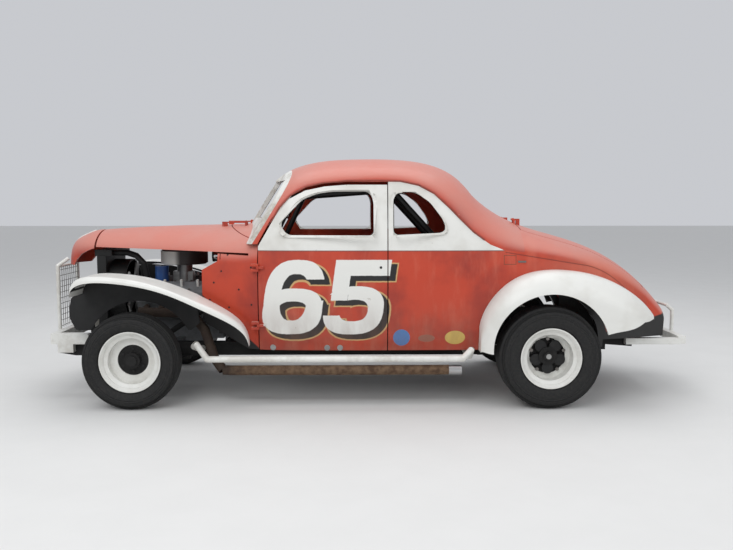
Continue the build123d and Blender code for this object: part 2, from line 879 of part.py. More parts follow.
with BuildPart() as steering_column:
    add(box(front_axle - 45, front_axle + 75, -inner_rail_y + seat_gap, -285, 302, 430))
    add(rod(column_low, column_high, column_radius))
    add(rod(column_high, along_column(60), shaft_radius))
    add(
        post(sector_radius + running_fit, 0, 290, 406, front_axle, pitman_y),
        mode=Mode.SUBTRACT,
    )
steering_column.part.label = "steering_column"
export_step(steering_column.part, "parts/steering_column.step")

wheel_plane = Plane(
    origin=Vector(middle_x, 0, 0) + Vector(*along_column(45)), x_dir=(0, 1, 0), z_dir=column_run
)
with BuildPart() as steering_wheel:
    with BuildSketch(wheel_plane):
        Circle(32)
        for spoke in range(3):
            with PolarLocations(0, 1, start_angle=90 + 120 * spoke):
                Rectangle(
                    steering_wheel_radius, 26, align=(Align.MIN, Align.CENTER)
                )
    extrude(amount=7, both=True)
    with BuildSketch(Plane(origin=wheel_plane.origin, x_dir=wheel_plane.z_dir, z_dir=wheel_plane.y_dir)):
        with Locations((0, steering_wheel_radius)):
            Circle(14)
    revolve(axis=Axis(wheel_plane.origin, wheel_plane.z_dir))
    with BuildSketch(wheel_plane.offset(-30)):
        Circle(shaft_radius + running_fit)
    extrude(amount=60, mode=Mode.SUBTRACT)
steering_wheel.part.label = "steering_wheel"
export_step(steering_wheel.part, "parts/steering_wheel.step")


def wheel_rim(half, disc_depth, hole, tabs):
    """A steel rim about the origin, its outer side towards -Y, with a pierced disc."""
    wall = rim_wall
    profile = (
        (lip_radius, -half),
        (lip_radius, -half + 9),
        (bead_radius, -half + 12),
        (bead_radius, -half + 34),
        (drop_radius, -half + 46),
        (drop_radius, half - 46),
        (bead_radius, half - 34),
        (bead_radius, half - 12),
        (lip_radius, half - 9),
        (lip_radius, half),
        (lip_radius - wall, half),
        (bead_radius - wall, half - 12 - wall),
        (bead_radius - wall, half - 34 + wall),
        (drop_radius - wall, half - 46 + wall),
        (drop_radius - wall, -half + 46 - wall),
        (bead_radius - wall, -half + 34 - wall),
        (bead_radius - wall, -half + 12 + wall),
        (lip_radius - wall, -half),
    )
    disc_y = -half + disc_depth
    with BuildPart() as rim:
        with BuildSketch(Plane.XY):
            with BuildLine():
                Polyline(profile, close=True)
            make_face()
        revolve(axis=Axis.Y)
        with BuildSketch(Plane(origin=(0, disc_y, 0), x_dir=(1, 0, 0), z_dir=(0, 1, 0))):
            Circle(drop_radius - wall / 2)
            Circle(hole, mode=Mode.SUBTRACT)
            if tabs:
                with PolarLocations(hole, tabs, start_angle=90):
                    Circle(tab_radius)
        extrude(amount=disc_wall)
    return rim.part


def wheel_tyre(radius, half_width, rim_half):
    """A tyre about the origin, its bead seated on the rim."""
    low = bead_radius + running_fit
    with BuildPart() as tyre:
        with BuildSketch(Plane.XY):
            with BuildLine():
                Line((low, -rim_half + 12.5), (lip_radius + 4, -rim_half + 9.5))
                Line((lip_radius + 4, -rim_half + 9.5), (lip_radius + 12, -rim_half - 4))
                ThreePointArc(
                    (lip_radius + 12, -rim_half - 4),
                    (lip_radius + 50, -half_width),
                    (radius - 34, -half_width + 4),
                )
                RadiusArc((radius - 34, -half_width + 4), (radius - 4, -half_width + 40), 34)
                ThreePointArc(
                    (radius - 4, -half_width + 40), (radius, 0), (radius - 4, half_width - 40)
                )
                RadiusArc((radius - 4, half_width - 40), (radius - 34, half_width - 4), 34)
                ThreePointArc(
                    (radius - 34, half_width - 4),
                    (lip_radius + 50, half_width),
                    (lip_radius + 12, rim_half + 4),
                )
                Line((lip_radius + 12, rim_half + 4), (lip_radius + 4, rim_half - 9.5))
                Line((lip_radius + 4, rim_half - 9.5), (low, rim_half - 12.5))
                Line((low, rim_half - 12.5), (low, rim_half - 30))
                Line((low, rim_half - 30), (radius - 20, rim_half - 30))
                Line((radius - 20, rim_half - 30), (radius - 20, -rim_half + 30))
                Line((radius - 20, -rim_half + 30), (low, -rim_half + 30))
                Line((low, -rim_half + 30), (low, -rim_half + 12.5))
            make_face()
        revolve(axis=Axis.Y)
    return tyre.part


def wheel_hub(half, disc_depth, barrel_radius, barrel_length, cap_radius, bore_end):
    """A hub with its drum about the origin, its face against the wheel's disc."""
    face_y = -half + disc_depth + disc_wall
    with BuildPart() as hub:
        add(ring(drum_radius, 0, face_y, face_y + drum_width, -middle_x, 0))
        add(ring(barrel_radius, 0, face_y - barrel_length, face_y, -middle_x, 0))
        add(ring(cap_radius, 0, face_y - barrel_length - 16, face_y, -middle_x, 0))
        add(
            ring(spindle_radius + running_fit, 0, bore_end, face_y + drum_width + 1, -middle_x, 0),
            mode=Mode.SUBTRACT,
        )
    return hub.part


front_rim = wheel_rim(front_rim_half, front_disc_depth, front_hole_radius, 0)
rear_rim = wheel_rim(rear_rim_half, rear_disc_depth, rear_hole_radius, tab_count)
front_tyre = wheel_tyre(front_tyre_radius, front_tyre_width / 2, front_rim_half)
rear_tyre = wheel_tyre(rear_tyre_radius, rear_tyre_width / 2, rear_rim_half)
front_hub = wheel_hub(front_rim_half, front_disc_depth, 54, 44, 36, -11)
rear_hub = wheel_hub(rear_rim_half, rear_disc_depth, 62, 40, 30, -11)
wheel_set = (
    # (name, piece, axle x, wheel y, axle z)
    ("rim_front", front_rim, front_axle_x, front_wheel_y, front_tyre_radius),
    ("tyre_front", front_tyre, front_axle_x, front_wheel_y, front_tyre_radius),
    ("hub_front", front_hub, front_axle_x, front_wheel_y, front_tyre_radius),
    ("rim_rear", rear_rim, rear_axle_x, rear_wheel_y, rear_tyre_radius),
    ("tyre_rear", rear_tyre, rear_axle_x, rear_wheel_y, rear_tyre_radius),
    ("hub_rear", rear_hub, rear_axle_x, rear_wheel_y, rear_tyre_radius),
)
for name, piece, axle_x, wheel_y, axle_z in wheel_set:
    with BuildPart() as left_piece:
        add(piece.moved(Location((axle_x, -wheel_y, axle_z))))
    left_piece.part.label = name + "_left"
    export_step(left_piece.part, "parts/" + name + "_left.step")
    with BuildPart() as right_piece:
        add(mirror(left_piece.part, Plane.XZ))
    right_piece.part.label = name + "_right"
    export_step(right_piece.part, "parts/" + name + "_right.step")

# Rear axle with its centre housing, backing plates and spindles
rear_inner_y = rear_wheel_y + rear_rim_half - rear_disc_depth - disc_wall - drum_width
rear_backing_y = rear_inner_y - 9
rear_spindle_end = rear_wheel_y + 6
with BuildPart() as rear_axle_housing:
    add(ring(40, 0, -rear_backing_y, rear_backing_y, rear_axle, rear_tyre_radius))
    with Locations((rear_axle_x, 0, rear_tyre_radius)):
        Sphere(132)
    add(ring(drum_radius, 0, rear_backing_y, rear_backing_y + 4, rear_axle, rear_tyre_radius))
    add(ring(drum_radius, 0, -rear_backing_y - 4, -rear_backing_y, rear_axle, rear_tyre_radius))
    add(ring(spindle_radius, 0, -rear_spindle_end, rear_spindle_end, rear_axle, rear_tyre_radius))
    add(rod((-420, 0, rear_tyre_radius), (rear_axle - 100, 0, rear_tyre_radius), 36))
rear_axle_housing.part.label = "rear_axle"
export_step(rear_axle_housing.part, "parts/rear_axle.step")

# Leaf springs
front_leaf = (
    (front_axle - 400, 282),
    (front_axle - 150, 267),
    (front_axle - 60, 265.3),
    (front_axle + 60, 265.3),
    (front_axle + 100, 267),
    (front_axle + 330, 282),
    (front_axle + 330, 299.7),
    (front_axle + 120, 285),
    (front_axle - 120, 285),
    (front_axle - 400, 299.7),
)
rear_leaf = (
    (rear_axle - 425, 318),
    (rear_axle - 60, 276),
    (rear_axle + 60, 276),
    (rear_axle + 450, 350),
    (rear_axle + 450, 372),
    (rear_axle + 60, 311.7),
    (rear_axle - 60, 311.7),
    (rear_axle - 425, 342),
)
with BuildPart() as leaf_springs:
    for side in (-1, 1):
        front = sorted((side * (outer_rail_y + 2), side * (outer_rail_y + 48)))
        outer = sorted((side * (outer_rail_y + 20), side * (outer_rail_y + 75)))
        shackle = sorted((side * (inner_rail_y + 2), side * (outer_rail_y + 48)))
        add(side_block(front_leaf, front[0], front[1]))
        add(box(front_axle - 400, front_axle - 370, shackle[0], shackle[1], 283, 299.7))
        add(box(front_axle + 300, front_axle + 330, shackle[0], shackle[1], 282, 299.7))
        add(side_block(rear_leaf, outer[0], outer[1]))
        hanger = sorted((side * (outer_rail_y + seat_gap), side * (outer_rail_y + 75)))
        add(box(rear_axle - 450, rear_axle - 415, hanger[0], hanger[1], 312, 360))
        add(box(rear_axle + 440, rear_axle + 475, hanger[0], hanger[1], 350, 425))
leaf_springs.part.label = "leaf_springs"
export_step(leaf_springs.part, "parts/leaf_springs.step")

# Engine: a block with two banks, its gearbox, mounts and the fan's shaft
engine_front = -1510.0
engine_rear = -985.0
block_half = 130.0
block_low_z = 345.0
block_high_z = 640.0
fan_z = 735.0
with BuildPart() as engine_block:
    add(box(engine_front, engine_rear, -block_half, block_half, block_low_z, block_high_z))
    add(box(engine_rear, -900, -150, 150, 380, 640))
    add(box(-900, -420, -90, 90, 330, 460))
    add(rod((engine_front - 120, 0, fan_z), (engine_front + 10, 0, fan_z), 12))
    add(rod((engine_front - 60, 0, fan_z), (engine_front + 10, 0, fan_z), 70))
    add(box(engine_front, engine_rear, -100, 100, block_high_z, 745))
    for y_low, y_high in ((-inner_rail_y + seat_gap, -block_half), (block_half, inner_rail_y - seat_gap)):
        add(box(-1260, -1200, y_low, y_high, 345, 390))
    add(box(-640, -580, -80, 80, rail_high_z + seat_gap, 430))
    add(box(-660, -560, -130, 130, rail_low_z - 5, rail_high_z + seat_gap), mode=Mode.SUBTRACT)
engine_block.part.label = "engine_block"
export_step(engine_block.part, "parts/engine_block.step")

with BuildPart() as bank:
    with BuildSketch(Plane(origin=(middle_x + engine_front, 0, 0), x_dir=(0, 1, 0), z_dir=(1, 0, 0))):
        with BuildLine():
            Polyline(
                ((block_half + 0.3, 520), (block_half + 0.3, 700), (190, 790), (300, 680), (210, 560)),
                close=True,
            )
        make_face()
    extrude(amount=engine_rear - engine_front)
with BuildPart() as bank_cover:
    with BuildSketch(Plane(origin=(middle_x + engine_front + 20, 0, 0), x_dir=(0, 1, 0), z_dir=(1, 0, 0))):
        with BuildLine():
            Polyline(
                ((195, 785.4), (295, 685.4), (330, 722), (330, 750), (260, 820), (232, 822)),
                close=True,
            )
        make_face()
    extrude(amount=engine_rear - engine_front - 40)
with BuildPart() as cylinder_heads:
    add(both_sides(bank.part))
    add(both_sides(bank_cover.part))
cylinder_heads.part.label = "cylinder_heads"
export_step(cylinder_heads.part, "parts/cylinder_heads.step")

cleaner_x = -1218.0
cleaner_radius = 177.0
cleaner_low_z = 937.0
cleaner_high_z = 1046.0
with BuildPart() as carburettor:
    add(box(cleaner_x - 90, cleaner_x + 90, -75, 75, 745.3, 800))
    add(post(58, 0, 800, cleaner_low_z - 0.3, cleaner_x, 0))
    add(box(cleaner_x - 80, cleaner_x + 70, -48, 48, 800, 880))
carburettor.part.label = "carburettor"
export_step(carburettor.part, "parts/carburettor.step")

with BuildPart() as air_cleaner:
    add(post(cleaner_radius, 0, cleaner_low_z + 8, cleaner_high_z - 8, cleaner_x, 0))
    add(post(cleaner_radius - 12, 0, cleaner_low_z, cleaner_low_z + 8, cleaner_x, 0))
    add(post(cleaner_radius - 8, 0, cleaner_high_z - 8, cleaner_high_z, cleaner_x, 0))
    add(post(14, 0, cleaner_high_z, cleaner_high_z + 10, cleaner_x, 0))
air_cleaner.part.label = "air_cleaner"
export_step(air_cleaner.part, "parts/air_cleaner.step")

with BuildPart() as oil_filter:
    add(post(50, 0, 808, 930, -1361, -130))
    add(post(26, 0, 745.3, 808, -1361, -98))
oil_filter.part.label = "oil_filter"
export_step(oil_filter.part, "parts/oil_filter.step")

# Radiator with its top tank and shroud, the fan and the hose
shroud_radius = 238.0
fan_radius = 212.0
with BuildPart() as radiator:
    add(box(-1810, -1745, -240, 240, rail_high_z + seat_gap, 1010))
    add(box(-1830, -1705, -225, 225, 1010, tank_high_z))
    with BuildSketch(Plane(origin=(middle_x - 1745, 0, fan_z), x_dir=(0, 1, 0), z_dir=(1, 0, 0))):
        Circle(shroud_radius)
        Circle(shroud_radius - 10, mode=Mode.SUBTRACT)
    extrude(amount=130)
radiator.part.label = "radiator"
export_step(radiator.part, "parts/radiator.step")

fan_plane = Plane(origin=(middle_x + engine_front - 100, 0, fan_z), x_dir=(0, 1, 0), z_dir=(1, 0, 0))
with BuildPart() as fan:
    with BuildSketch(fan_plane):
        Circle(52)
        for blade in range(5):
            with PolarLocations(0, 1, start_angle=72 * blade):
                Rectangle(fan_radius, 70, align=(Align.MIN, Align.CENTER))
    extrude(amount=14)
    with BuildSketch(fan_plane.offset(-1)):
        Circle(12 + running_fit)
    extrude(amount=30, mode=Mode.SUBTRACT)
fan.part.label = "fan"
export_step(fan.part, "parts/fan.step")

with BuildPart() as radiator_hose:
    add(
        tube(
            (
                (-1704.6, -150, 1030),
                (-1610, -150, 1030),
                (-1545, -150, 1008),
                (-1490, -150, 950),
                (-1474, -130, 850),
                (-1474, -60, 785),
                (-1474, -60, 745.3),
            ),
            22,
        )
    )
radiator_hose.part.label = "radiator_hose"
export_step(radiator_hose.part, "parts/radiator_hose.step")

# Exhausts: a log, a down-pipe and a long side pipe on each side
with BuildPart() as exhaust:
    add(
        tube(
            (
                (-1470, -385, 615),
                (-1090, -385, 605),
                (-980, -470, 500),
                (-890, -600, 320),
                (-823, -640, 242),
                (-760, -640, 240),
                (839, -640, 240),
            ),
            34,
        )
    )
    for station in (-1440, -1330, -1220, -1110):
        add(rod((station, -230, 650), (station, -385, 612), 20))
    add(cylinder_heads.part, mode=Mode.SUBTRACT)
with BuildPart() as exhaust_pipes:
    add(both_sides(exhaust.part))
exhaust_pipes.part.label = "exhaust_pipes"
export_step(exhaust_pipes.part, "parts/exhaust_pipes.step")

# Side bars
side_bar_y = 820.0
side_bar_z = 355.0
side_bar_radius = 21.5
with BuildPart() as side_bar:
    add(
        tube(
            (
                (-1010, -outer_rail_y - seat_gap, 352),
                (-1010, -460, 352),
                (-1010, -700, 420),
                (-985, -745, 445),
                (-897, -side_bar_y, side_bar_z),
                (824, -side_bar_y, side_bar_z),
                (892, -745, 402),
                (892, -660, 340),
                (892, -outer_rail_y - seat_gap, 340),
            ),
            side_bar_radius,
        )
    )
with BuildPart() as side_bars:
    add(both_sides(side_bar.part))
side_bars.part.label = "side_bars"
export_step(side_bars.part, "parts/side_bars.step")

# Front bumper with its grille guard
guard_radius = 14.0
guard_station = front_axle - front_overhang + guard_radius
with BuildPart() as front_bumper:
    add(box(-2088, -2032, -450, 450, 391, 468))
    add(box(-2090, -2034, -440, 440, 401, 458), mode=Mode.SUBTRACT)
    add(box(-2046, -2032, -440, 440, 395, 464))
    for y_low, y_high in ((-450, -outer_rail_y - seat_gap), (outer_rail_y + seat_gap, 450)):
        add(box(-2040, -1819, y_low, y_high, 391, 468))
        add(box(-2040, -1930, y_low, y_high, 330, 395))
    for side in (-1, 1):
        leg = ((guard_station, side * 200, 420), (guard_station, side * 200, 935), (-2048, side * 162, 990))
        add(tube(leg, guard_radius))
    add(rod((guard_station, -200, 930), (guard_station, 200, 930), 10))
    for y in (-200, 200):
        add(box(guard_station, -2040, y - 12, y + 12, 425, 462))
front_bumper.part.label = "front_bumper"
export_step(front_bumper.part, "parts/front_bumper.step")

# Rear bumper with its own hoop
hoop_station = rear_axle + rear_overhang - guard_radius - 4
with BuildPart() as rear_bumper:
    add(box(2440, 2495, -450, 450, 385, 440))
    for y_low, y_high in ((-450, -outer_rail_y - seat_gap), (outer_rail_y + seat_gap, 450)):
        add(box(2060, 2450, y_low, y_high, 380, 425))
    for y in (-200, 200):
        leg = ((hoop_station, y, 400), (hoop_station, y, 595), (2445, y, 640))
        add(tube(leg, guard_radius))
    add(rod((2449, -212, 634), (2449, 212, 634), guard_radius - 2))
rear_bumper.part.label = "rear_bumper"
export_step(rear_bumper.part, "parts/rear_bumper.step")

# Roll cage on the floor, braced back to the rails
cage_radius = 21.0
cage_foot_z = floor_z + floor_wall + seat_gap
hoop_x = 350.0
with BuildPart() as cage_hoop:
    add(
        tube(
            (
                (hoop_x, -560, cage_foot_z),
                (hoop_x, -560, 1120),
                (hoop_x, -480, 1500),
                (hoop_x, 480, 1500),
                (hoop_x, 560, 1120),
                (hoop_x, 560, cage_foot_z),
            ),
            cage_radius,
        )
    )
with BuildPart() as cage_side:
    add(
        tube(
            (
                (-540, -540, cage_foot_z),
                (-540, -540, 1020),
                (-330, -480, 1450),
                (hoop_x, -480, 1500),
            ),
            cage_radius,
        )
    )
    add(rod((hoop_x, -480, 1500), (1215, -375, 561), cage_radius))
    add(box(1180, 1250, -outer_rail_y, -inner_rail_y, 540.3, 563))
    for z in (640, 840):
        add(rod((-540, -540, z), (hoop_x, -560, z), cage_radius - 3))
with BuildPart() as roll_cage:
    add(cage_hoop.part)
    add(both_sides(cage_side.part))
    for station, y, z in ((-540, 540, 1000), (-330, 480, 1450)):
        add(rod((station, -y, z), (station, y, z), cage_radius - 2))
roll_cage.part.label = "roll_cage"
export_step(roll_cage.part, "parts/roll_cage.step")

with BuildPart() as dashboard:
    add(box(-575, -561 - 0.3, -470, 470, 900, 1050))
    add(rod((-540, -600, 1000), (-540, 600, 1000), cage_radius + seat_gap), mode=Mode.SUBTRACT)
    add(rod(column_low, column_high, column_radius + seat_gap), mode=Mode.SUBTRACT)
dashboard.part.label = "dashboard"
export_step(dashboard.part, "parts/dashboard.step")

# Driver's seat
seat_side = (
    (-130, 460),
    (-130, 560),
    (190, 520),
    (300, 1080),
    (325, 1080),
    (325, 1040),
    (240, 480),
    (200, 460),
)
bolster_side = (
    (-130, 460),
    (-130, 640),
    (120, 640),
    (230, 1000),
    (310, 1000),
    (240, 460),
)
with BuildPart() as seat:
    add(side_block(seat_side, -485, -155))
    add(box(-80, 200, -460, -180, cage_foot_z, 470))
    for y in (-490, -170):
        add(side_block(bolster_side, y, y + 20))
seat.part.label = "seat"
export_step(seat.part, "parts/seat.step")

with BuildPart() as fuel_tank:
    add(box(1760, 2040, -290, 290, 455.3, 720))
    add(post(30, 0, 720, 745, 1820, -200))
fuel_tank.part.label = "fuel_tank"
export_step(fuel_tank.part, "parts/fuel_tank.step")
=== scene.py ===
"""Looks of a 1930s coupe rebuilt as a stock car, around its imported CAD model."""

import math

import bmesh
import bpy
from mathutils import Matrix, Vector
from mathutils.bvhtree import BVHTree


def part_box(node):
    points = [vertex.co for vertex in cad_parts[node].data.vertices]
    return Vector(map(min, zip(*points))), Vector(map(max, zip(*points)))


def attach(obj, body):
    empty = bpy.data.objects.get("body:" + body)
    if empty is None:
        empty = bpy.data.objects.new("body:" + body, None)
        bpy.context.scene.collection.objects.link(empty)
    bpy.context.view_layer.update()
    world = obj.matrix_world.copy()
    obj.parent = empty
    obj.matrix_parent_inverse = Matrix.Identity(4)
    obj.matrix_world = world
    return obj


bl_info = {
    "name": "Stock Car Looks",
    "version": (1, 0, 0),
    "blender": (4, 5, 0),
    "location": "View3D > Sidebar > Stock Car",
    "description": "Paint, tread, trim and small fittings of an oval-track stock car",
    "category": "Object",
}

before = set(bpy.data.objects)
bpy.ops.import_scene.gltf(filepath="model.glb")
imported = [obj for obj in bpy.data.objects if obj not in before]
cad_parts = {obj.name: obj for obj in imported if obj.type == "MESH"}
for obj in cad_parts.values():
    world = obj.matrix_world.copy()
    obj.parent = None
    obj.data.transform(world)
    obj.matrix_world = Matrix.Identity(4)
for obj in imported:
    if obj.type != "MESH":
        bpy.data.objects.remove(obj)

MIDDLE = -0.19  # x of the middle of the wheelbase; a station is a distance behind it
FRONT_WHEEL = Vector((-1.615, 0.730, 0.330))
REAR_WHEEL = Vector((1.235, 0.712, 0.352))
BELT_Z = 1.076  # lower edge of the white round the side windows
SURROUND_REAR = 0.939  # rear end of that white, at the belt
SURROUND_LOW, SURROUND_RISE, SURROUND_LEAN = 1.072, 0.078, 1.85  # its slanted rear edge
NUMBER_X, NUMBER_Z = -0.297, 0.757  # middle of the race number
NUMBER_LEAN = 0.14
SIX_AHEAD, FIVE_BEHIND = 0.215, 0.205  # from that middle to the middle of each digit
SHADOW_BACK, SHADOW_DOWN = 0.034, 0.032  # from the number to its painted shadow
SHADOW_EDGE = 0.004  # how far the black of the shadow reaches past its digits
OUTLINE = 0.013  # how far the tan line reaches past them
FILLER_LID = (0.930, 1.012, 0.982, 1.043)  # its ends in x, then in z
CREASE_X, CREASE_Z = 0.931, 1.066  # front end of the body line over the rear fender
CREASE_SLOPE = 0.165
CREASE_BEND_X, CREASE_BEND = 1.5, 1.25  # where the line starts to drop, and how fast
ARCH_RADIUS = 0.470  # of the black painted shade inside the rear wheel arch
TAIL_SLOPE, TAIL_Z = 0.24, 0.092  # upper edge of the black strip of painted shade on the tail's underside
COWL_SLOPE, COWL_Z = 0.86, -0.262  # upper edge of the black painted shade behind the front fender
SIDES_AND_WORDS = ((-1, "left"), (1, "right"))


# ---------------------------------------------------------------- Shading


class Value:
    """A number that varies over a surface, written in plain arithmetic."""

    def __init__(self, tree, socket):
        self.tree = tree
        self.socket = socket

    def math(self, operation, *others):
        node = self.tree.nodes.new("ShaderNodeMath")
        node.operation = operation
        for socket, value in zip(node.inputs, (self, *others)):
            if isinstance(value, Value):
                self.tree.links.new(value.socket, socket)
            else:
                socket.default_value = value
        return Value(self.tree, node.outputs[0])

    def __add__(self, other):
        return self.math("ADD", other)

    def __radd__(self, other):
        return self.math("ADD", other)

    def __sub__(self, other):
        return self.math("SUBTRACT", other)

    def __rsub__(self, other):
        return (self * -1.0) + other

    def __mul__(self, other):
        return self.math("MULTIPLY", other)

    def __rmul__(self, other):
        return self.math("MULTIPLY", other)

    def __truediv__(self, other):
        return self.math("DIVIDE", other)

    def __pow__(self, other):
        return self.math("POWER", other)

    def __neg__(self):
        return self * -1.0

    def size(self):
        return self.math("ABSOLUTE")

    def wave(self):
        return self.math("SINE")

    def least(self, other):
        return self.math("MINIMUM", other)

    def most(self, other):
        return self.math("MAXIMUM", other)

    def above(self, edge, blur=0.002):
        """1 where the value is over the edge, 0 under it, with a soft step."""
        if isinstance(edge, Value):
            return (self - edge).above(0.0, blur)
        node = self.tree.nodes.new("ShaderNodeMapRange")
        node.interpolation_type = "SMOOTHSTEP"
        self.tree.links.new(self.socket, node.inputs["Value"])
        node.inputs["From Min"].default_value = edge - blur
        node.inputs["From Max"].default_value = edge + blur
        return Value(self.tree, node.outputs["Result"])

    def below(self, edge, blur=0.002):
        return 1.0 - self.above(edge, blur)


class Finish:
    """One procedural material on Object coordinates."""

    def __init__(self, name):
        self.material = bpy.data.materials.new(name)
        self.material.use_nodes = True
        self.tree = self.material.node_tree
        self.shader = self.tree.nodes["Principled BSDF"]
        self.coordinates = self.node("ShaderNodeTexCoord", {}, {})
        self.place = self.coordinates.outputs["Object"]
        self.x, self.y, self.z = self.split(self.place)

    def node(self, kind, settings, sockets):
        """Any node, with its settings first and then the values or links of its sockets."""
        node = self.tree.nodes.new(kind)
        for key, value in settings.items():
            setattr(node, key, value)
        for key, value in sockets.items():
            if isinstance(value, Value):
                value = value.socket
            if isinstance(value, bpy.types.NodeSocket):
                self.tree.links.new(value, node.inputs[key])
            else:
                node.inputs[key].default_value = value
        return node

    def noise(self, scale, detail=3.0, rough=0.55, stretch=(1, 1, 1)):
        place = self.place
        if stretch != (1, 1, 1):
            mapping = self.node("ShaderNodeMapping", {}, {"Vector": place, "Scale": stretch})
            place = mapping.outputs[0]
        sockets = {"Vector": place, "Scale": scale, "Detail": detail, "Roughness": rough}
        return Value(self.tree, self.node("ShaderNodeTexNoise", {}, sockets).outputs["Fac"])

    def split(self, vector):
        """The three parts of a vector."""
        parts = self.node("ShaderNodeSeparateXYZ", {}, {"Vector": vector})
        return [Value(self.tree, parts.outputs[axis]) for axis in "XYZ"]

    def facing(self):
        """How far the surface faces along X, Y and Z of its own piece."""
        return self.split(self.coordinates.outputs["Normal"])

    def up(self):
        """How far the surface faces up."""
        return self.facing()[2]

    def outward(self):
        """How far the surface faces away from the car's middle plane."""
        return self.facing()[1] * (self.y.above(0.0) * 2.0 - 1.0)

    def mix(self, share, low, high):
        """A colour between two colours."""
        made = self.node("ShaderNodeMix", {"data_type": "RGBA"}, {})
        for index, value in ((0, share), (6, low), (7, high)):
            if isinstance(value, Value):
                self.tree.links.new(value.socket, made.inputs[index])
            elif isinstance(value, bpy.types.NodeSocket):
                self.tree.links.new(value, made.inputs[index])
            elif index == 0:
                made.inputs[0].default_value = value
            else:
                made.inputs[index].default_value = (*value, 1.0)
        return made.outputs[2]

    def bump(self, height, strength, distance):
        sockets = {"Height": height, "Strength": strength, "Distance": distance}
        made = self.node("ShaderNodeBump", {}, sockets)
        self.tree.links.new(made.outputs["Normal"], self.shader.inputs["Normal"])

    def set(self, colour, rough, metal, coat):
        """Sets the shader's main sockets and gives the finished material."""
        names = ("Base Color", "Roughness", "Metallic", "Coat Weight")
        for name, value in zip(names, (colour, rough, metal, coat)):
            socket = self.shader.inputs[name]
            if isinstance(value, Value):
                value = value.socket
            if isinstance(value, bpy.types.NodeSocket):
                self.tree.links.new(value, socket)
            elif name == "Base Color":
                socket.default_value = (*value, 1.0)
            else:
                socket.default_value = value
        return self.material


def linear(red, green, blue):
    """A colour of 0 to 255 on screen, in the numbers that a socket takes."""
    parts = (c / 255 for c in (red, green, blue))
    return tuple(c / 12.92 if c <= 0.04045 else ((c + 0.055) / 1.055) ** 2.4 for c in parts)


RED = linear(190, 62, 34)
RED_DARK = linear(150, 46, 31)
RED_PALE = linear(203, 108, 84)
# dark red for the body crease: painted shade in it
RED_CREASE_SHADE = linear(84, 30, 24)
# paler red for the faces that look up: a painted sky reflection
RED_SKY_SHEEN = linear(212, 146, 132)
WHITE = linear(226, 226, 221)
WHITE_DIRTY = linear(176, 170, 158)
RUST = linear(104, 60, 38)
BLACK = linear(26, 25, 25)
TAN = linear(196, 158, 106)
DUST = linear(120, 84, 66)
BELT_LINE = linear(92, 46, 38)

DECALS = (  # x and z of the middle, half width, half height and colour
    (0.227, 0.475, 0.058, 0.058, linear(70, 120, 176)),
    (0.400, 0.470, 0.058, 0.026, linear(150, 92, 76)),
    (0.598, 0.474, 0.070, 0.048, linear(206, 176, 92)),
)


def bowl(u, v, centre_v, wide, tall, stroke):
    """How far a point is from a rounded ring, below 0 inside it."""
    def oval(half_u, half_v):
        reach = ((u / half_u).size() ** 2.6 + ((v - centre_v) / half_v).size() ** 2.6) ** (1 / 2.6)
        return (reach - 1.0) * min(half_u, half_v)

    return oval(wide, tall).most(-oval(wide - stroke, tall - stroke * 0.86))


def bar(u, v, low_u, high_u, low_v, high_v):
    """How far a point is from an upright rectangle."""
    across = (u - (low_u + high_u) / 2).size() - (high_u - low_u) / 2
    along = (v - (low_v + high_v) / 2).size() - (high_v - low_v) / 2
    return across.most(along)


def six(u, v):
    """Distance from a 6 about its middle."""
    tall = bowl(u, v, 0.0, 0.205, 0.258, 0.112)
    tall = tall.most(-bar(u, v, 0.03, 0.4, -0.02, 0.125))
    return tall.least(bowl(u, v, -0.098, 0.205, 0.160, 0.104))


def five(u, v):
    """Distance from a 5 about its middle."""
    ring = bowl(u, v, -0.090, 0.205, 0.168, 0.108)
    ring = ring.most(-bar(u, v, -0.4, -0.05, -0.125, 0.02))
    top = bar(u, v, -0.165, 0.215, 0.150, 0.258)
    return ring.least(top).least(bar(u, v, -0.165, -0.052, -0.02, 0.258))


def number(u, v):
    """Distance from the two slanted digits."""
    u = u - v * NUMBER_LEAN
    return six(u + SIX_AHEAD, v).least(five(u - FIVE_BEHIND, v))


def crease_height(coat):
    """Height of the body line that runs from the window surround down to the tail."""
    fall = (coat.x - CREASE_BEND_X).most(0.0)
    return CREASE_Z - (coat.x - CREASE_X) * CREASE_SLOPE - fall * fall * CREASE_BEND


def shaded_tail(coat):
    """1 inside the rear wheel arch and on the tail's underside, where black stands for painted shade.
    """
    arch = ((coat.x - REAR_WHEEL.x) ** 2 + (coat.z - REAR_WHEEL.z) ** 2) ** 0.5
    strip = (coat.z - coat.x * TAIL_SLOPE).below(TAIL_Z, 0.006) * coat.x.above(CREASE_BEND_X, 0.01)
    return arch.below(ARCH_RADIUS, 0.004).most(strip)


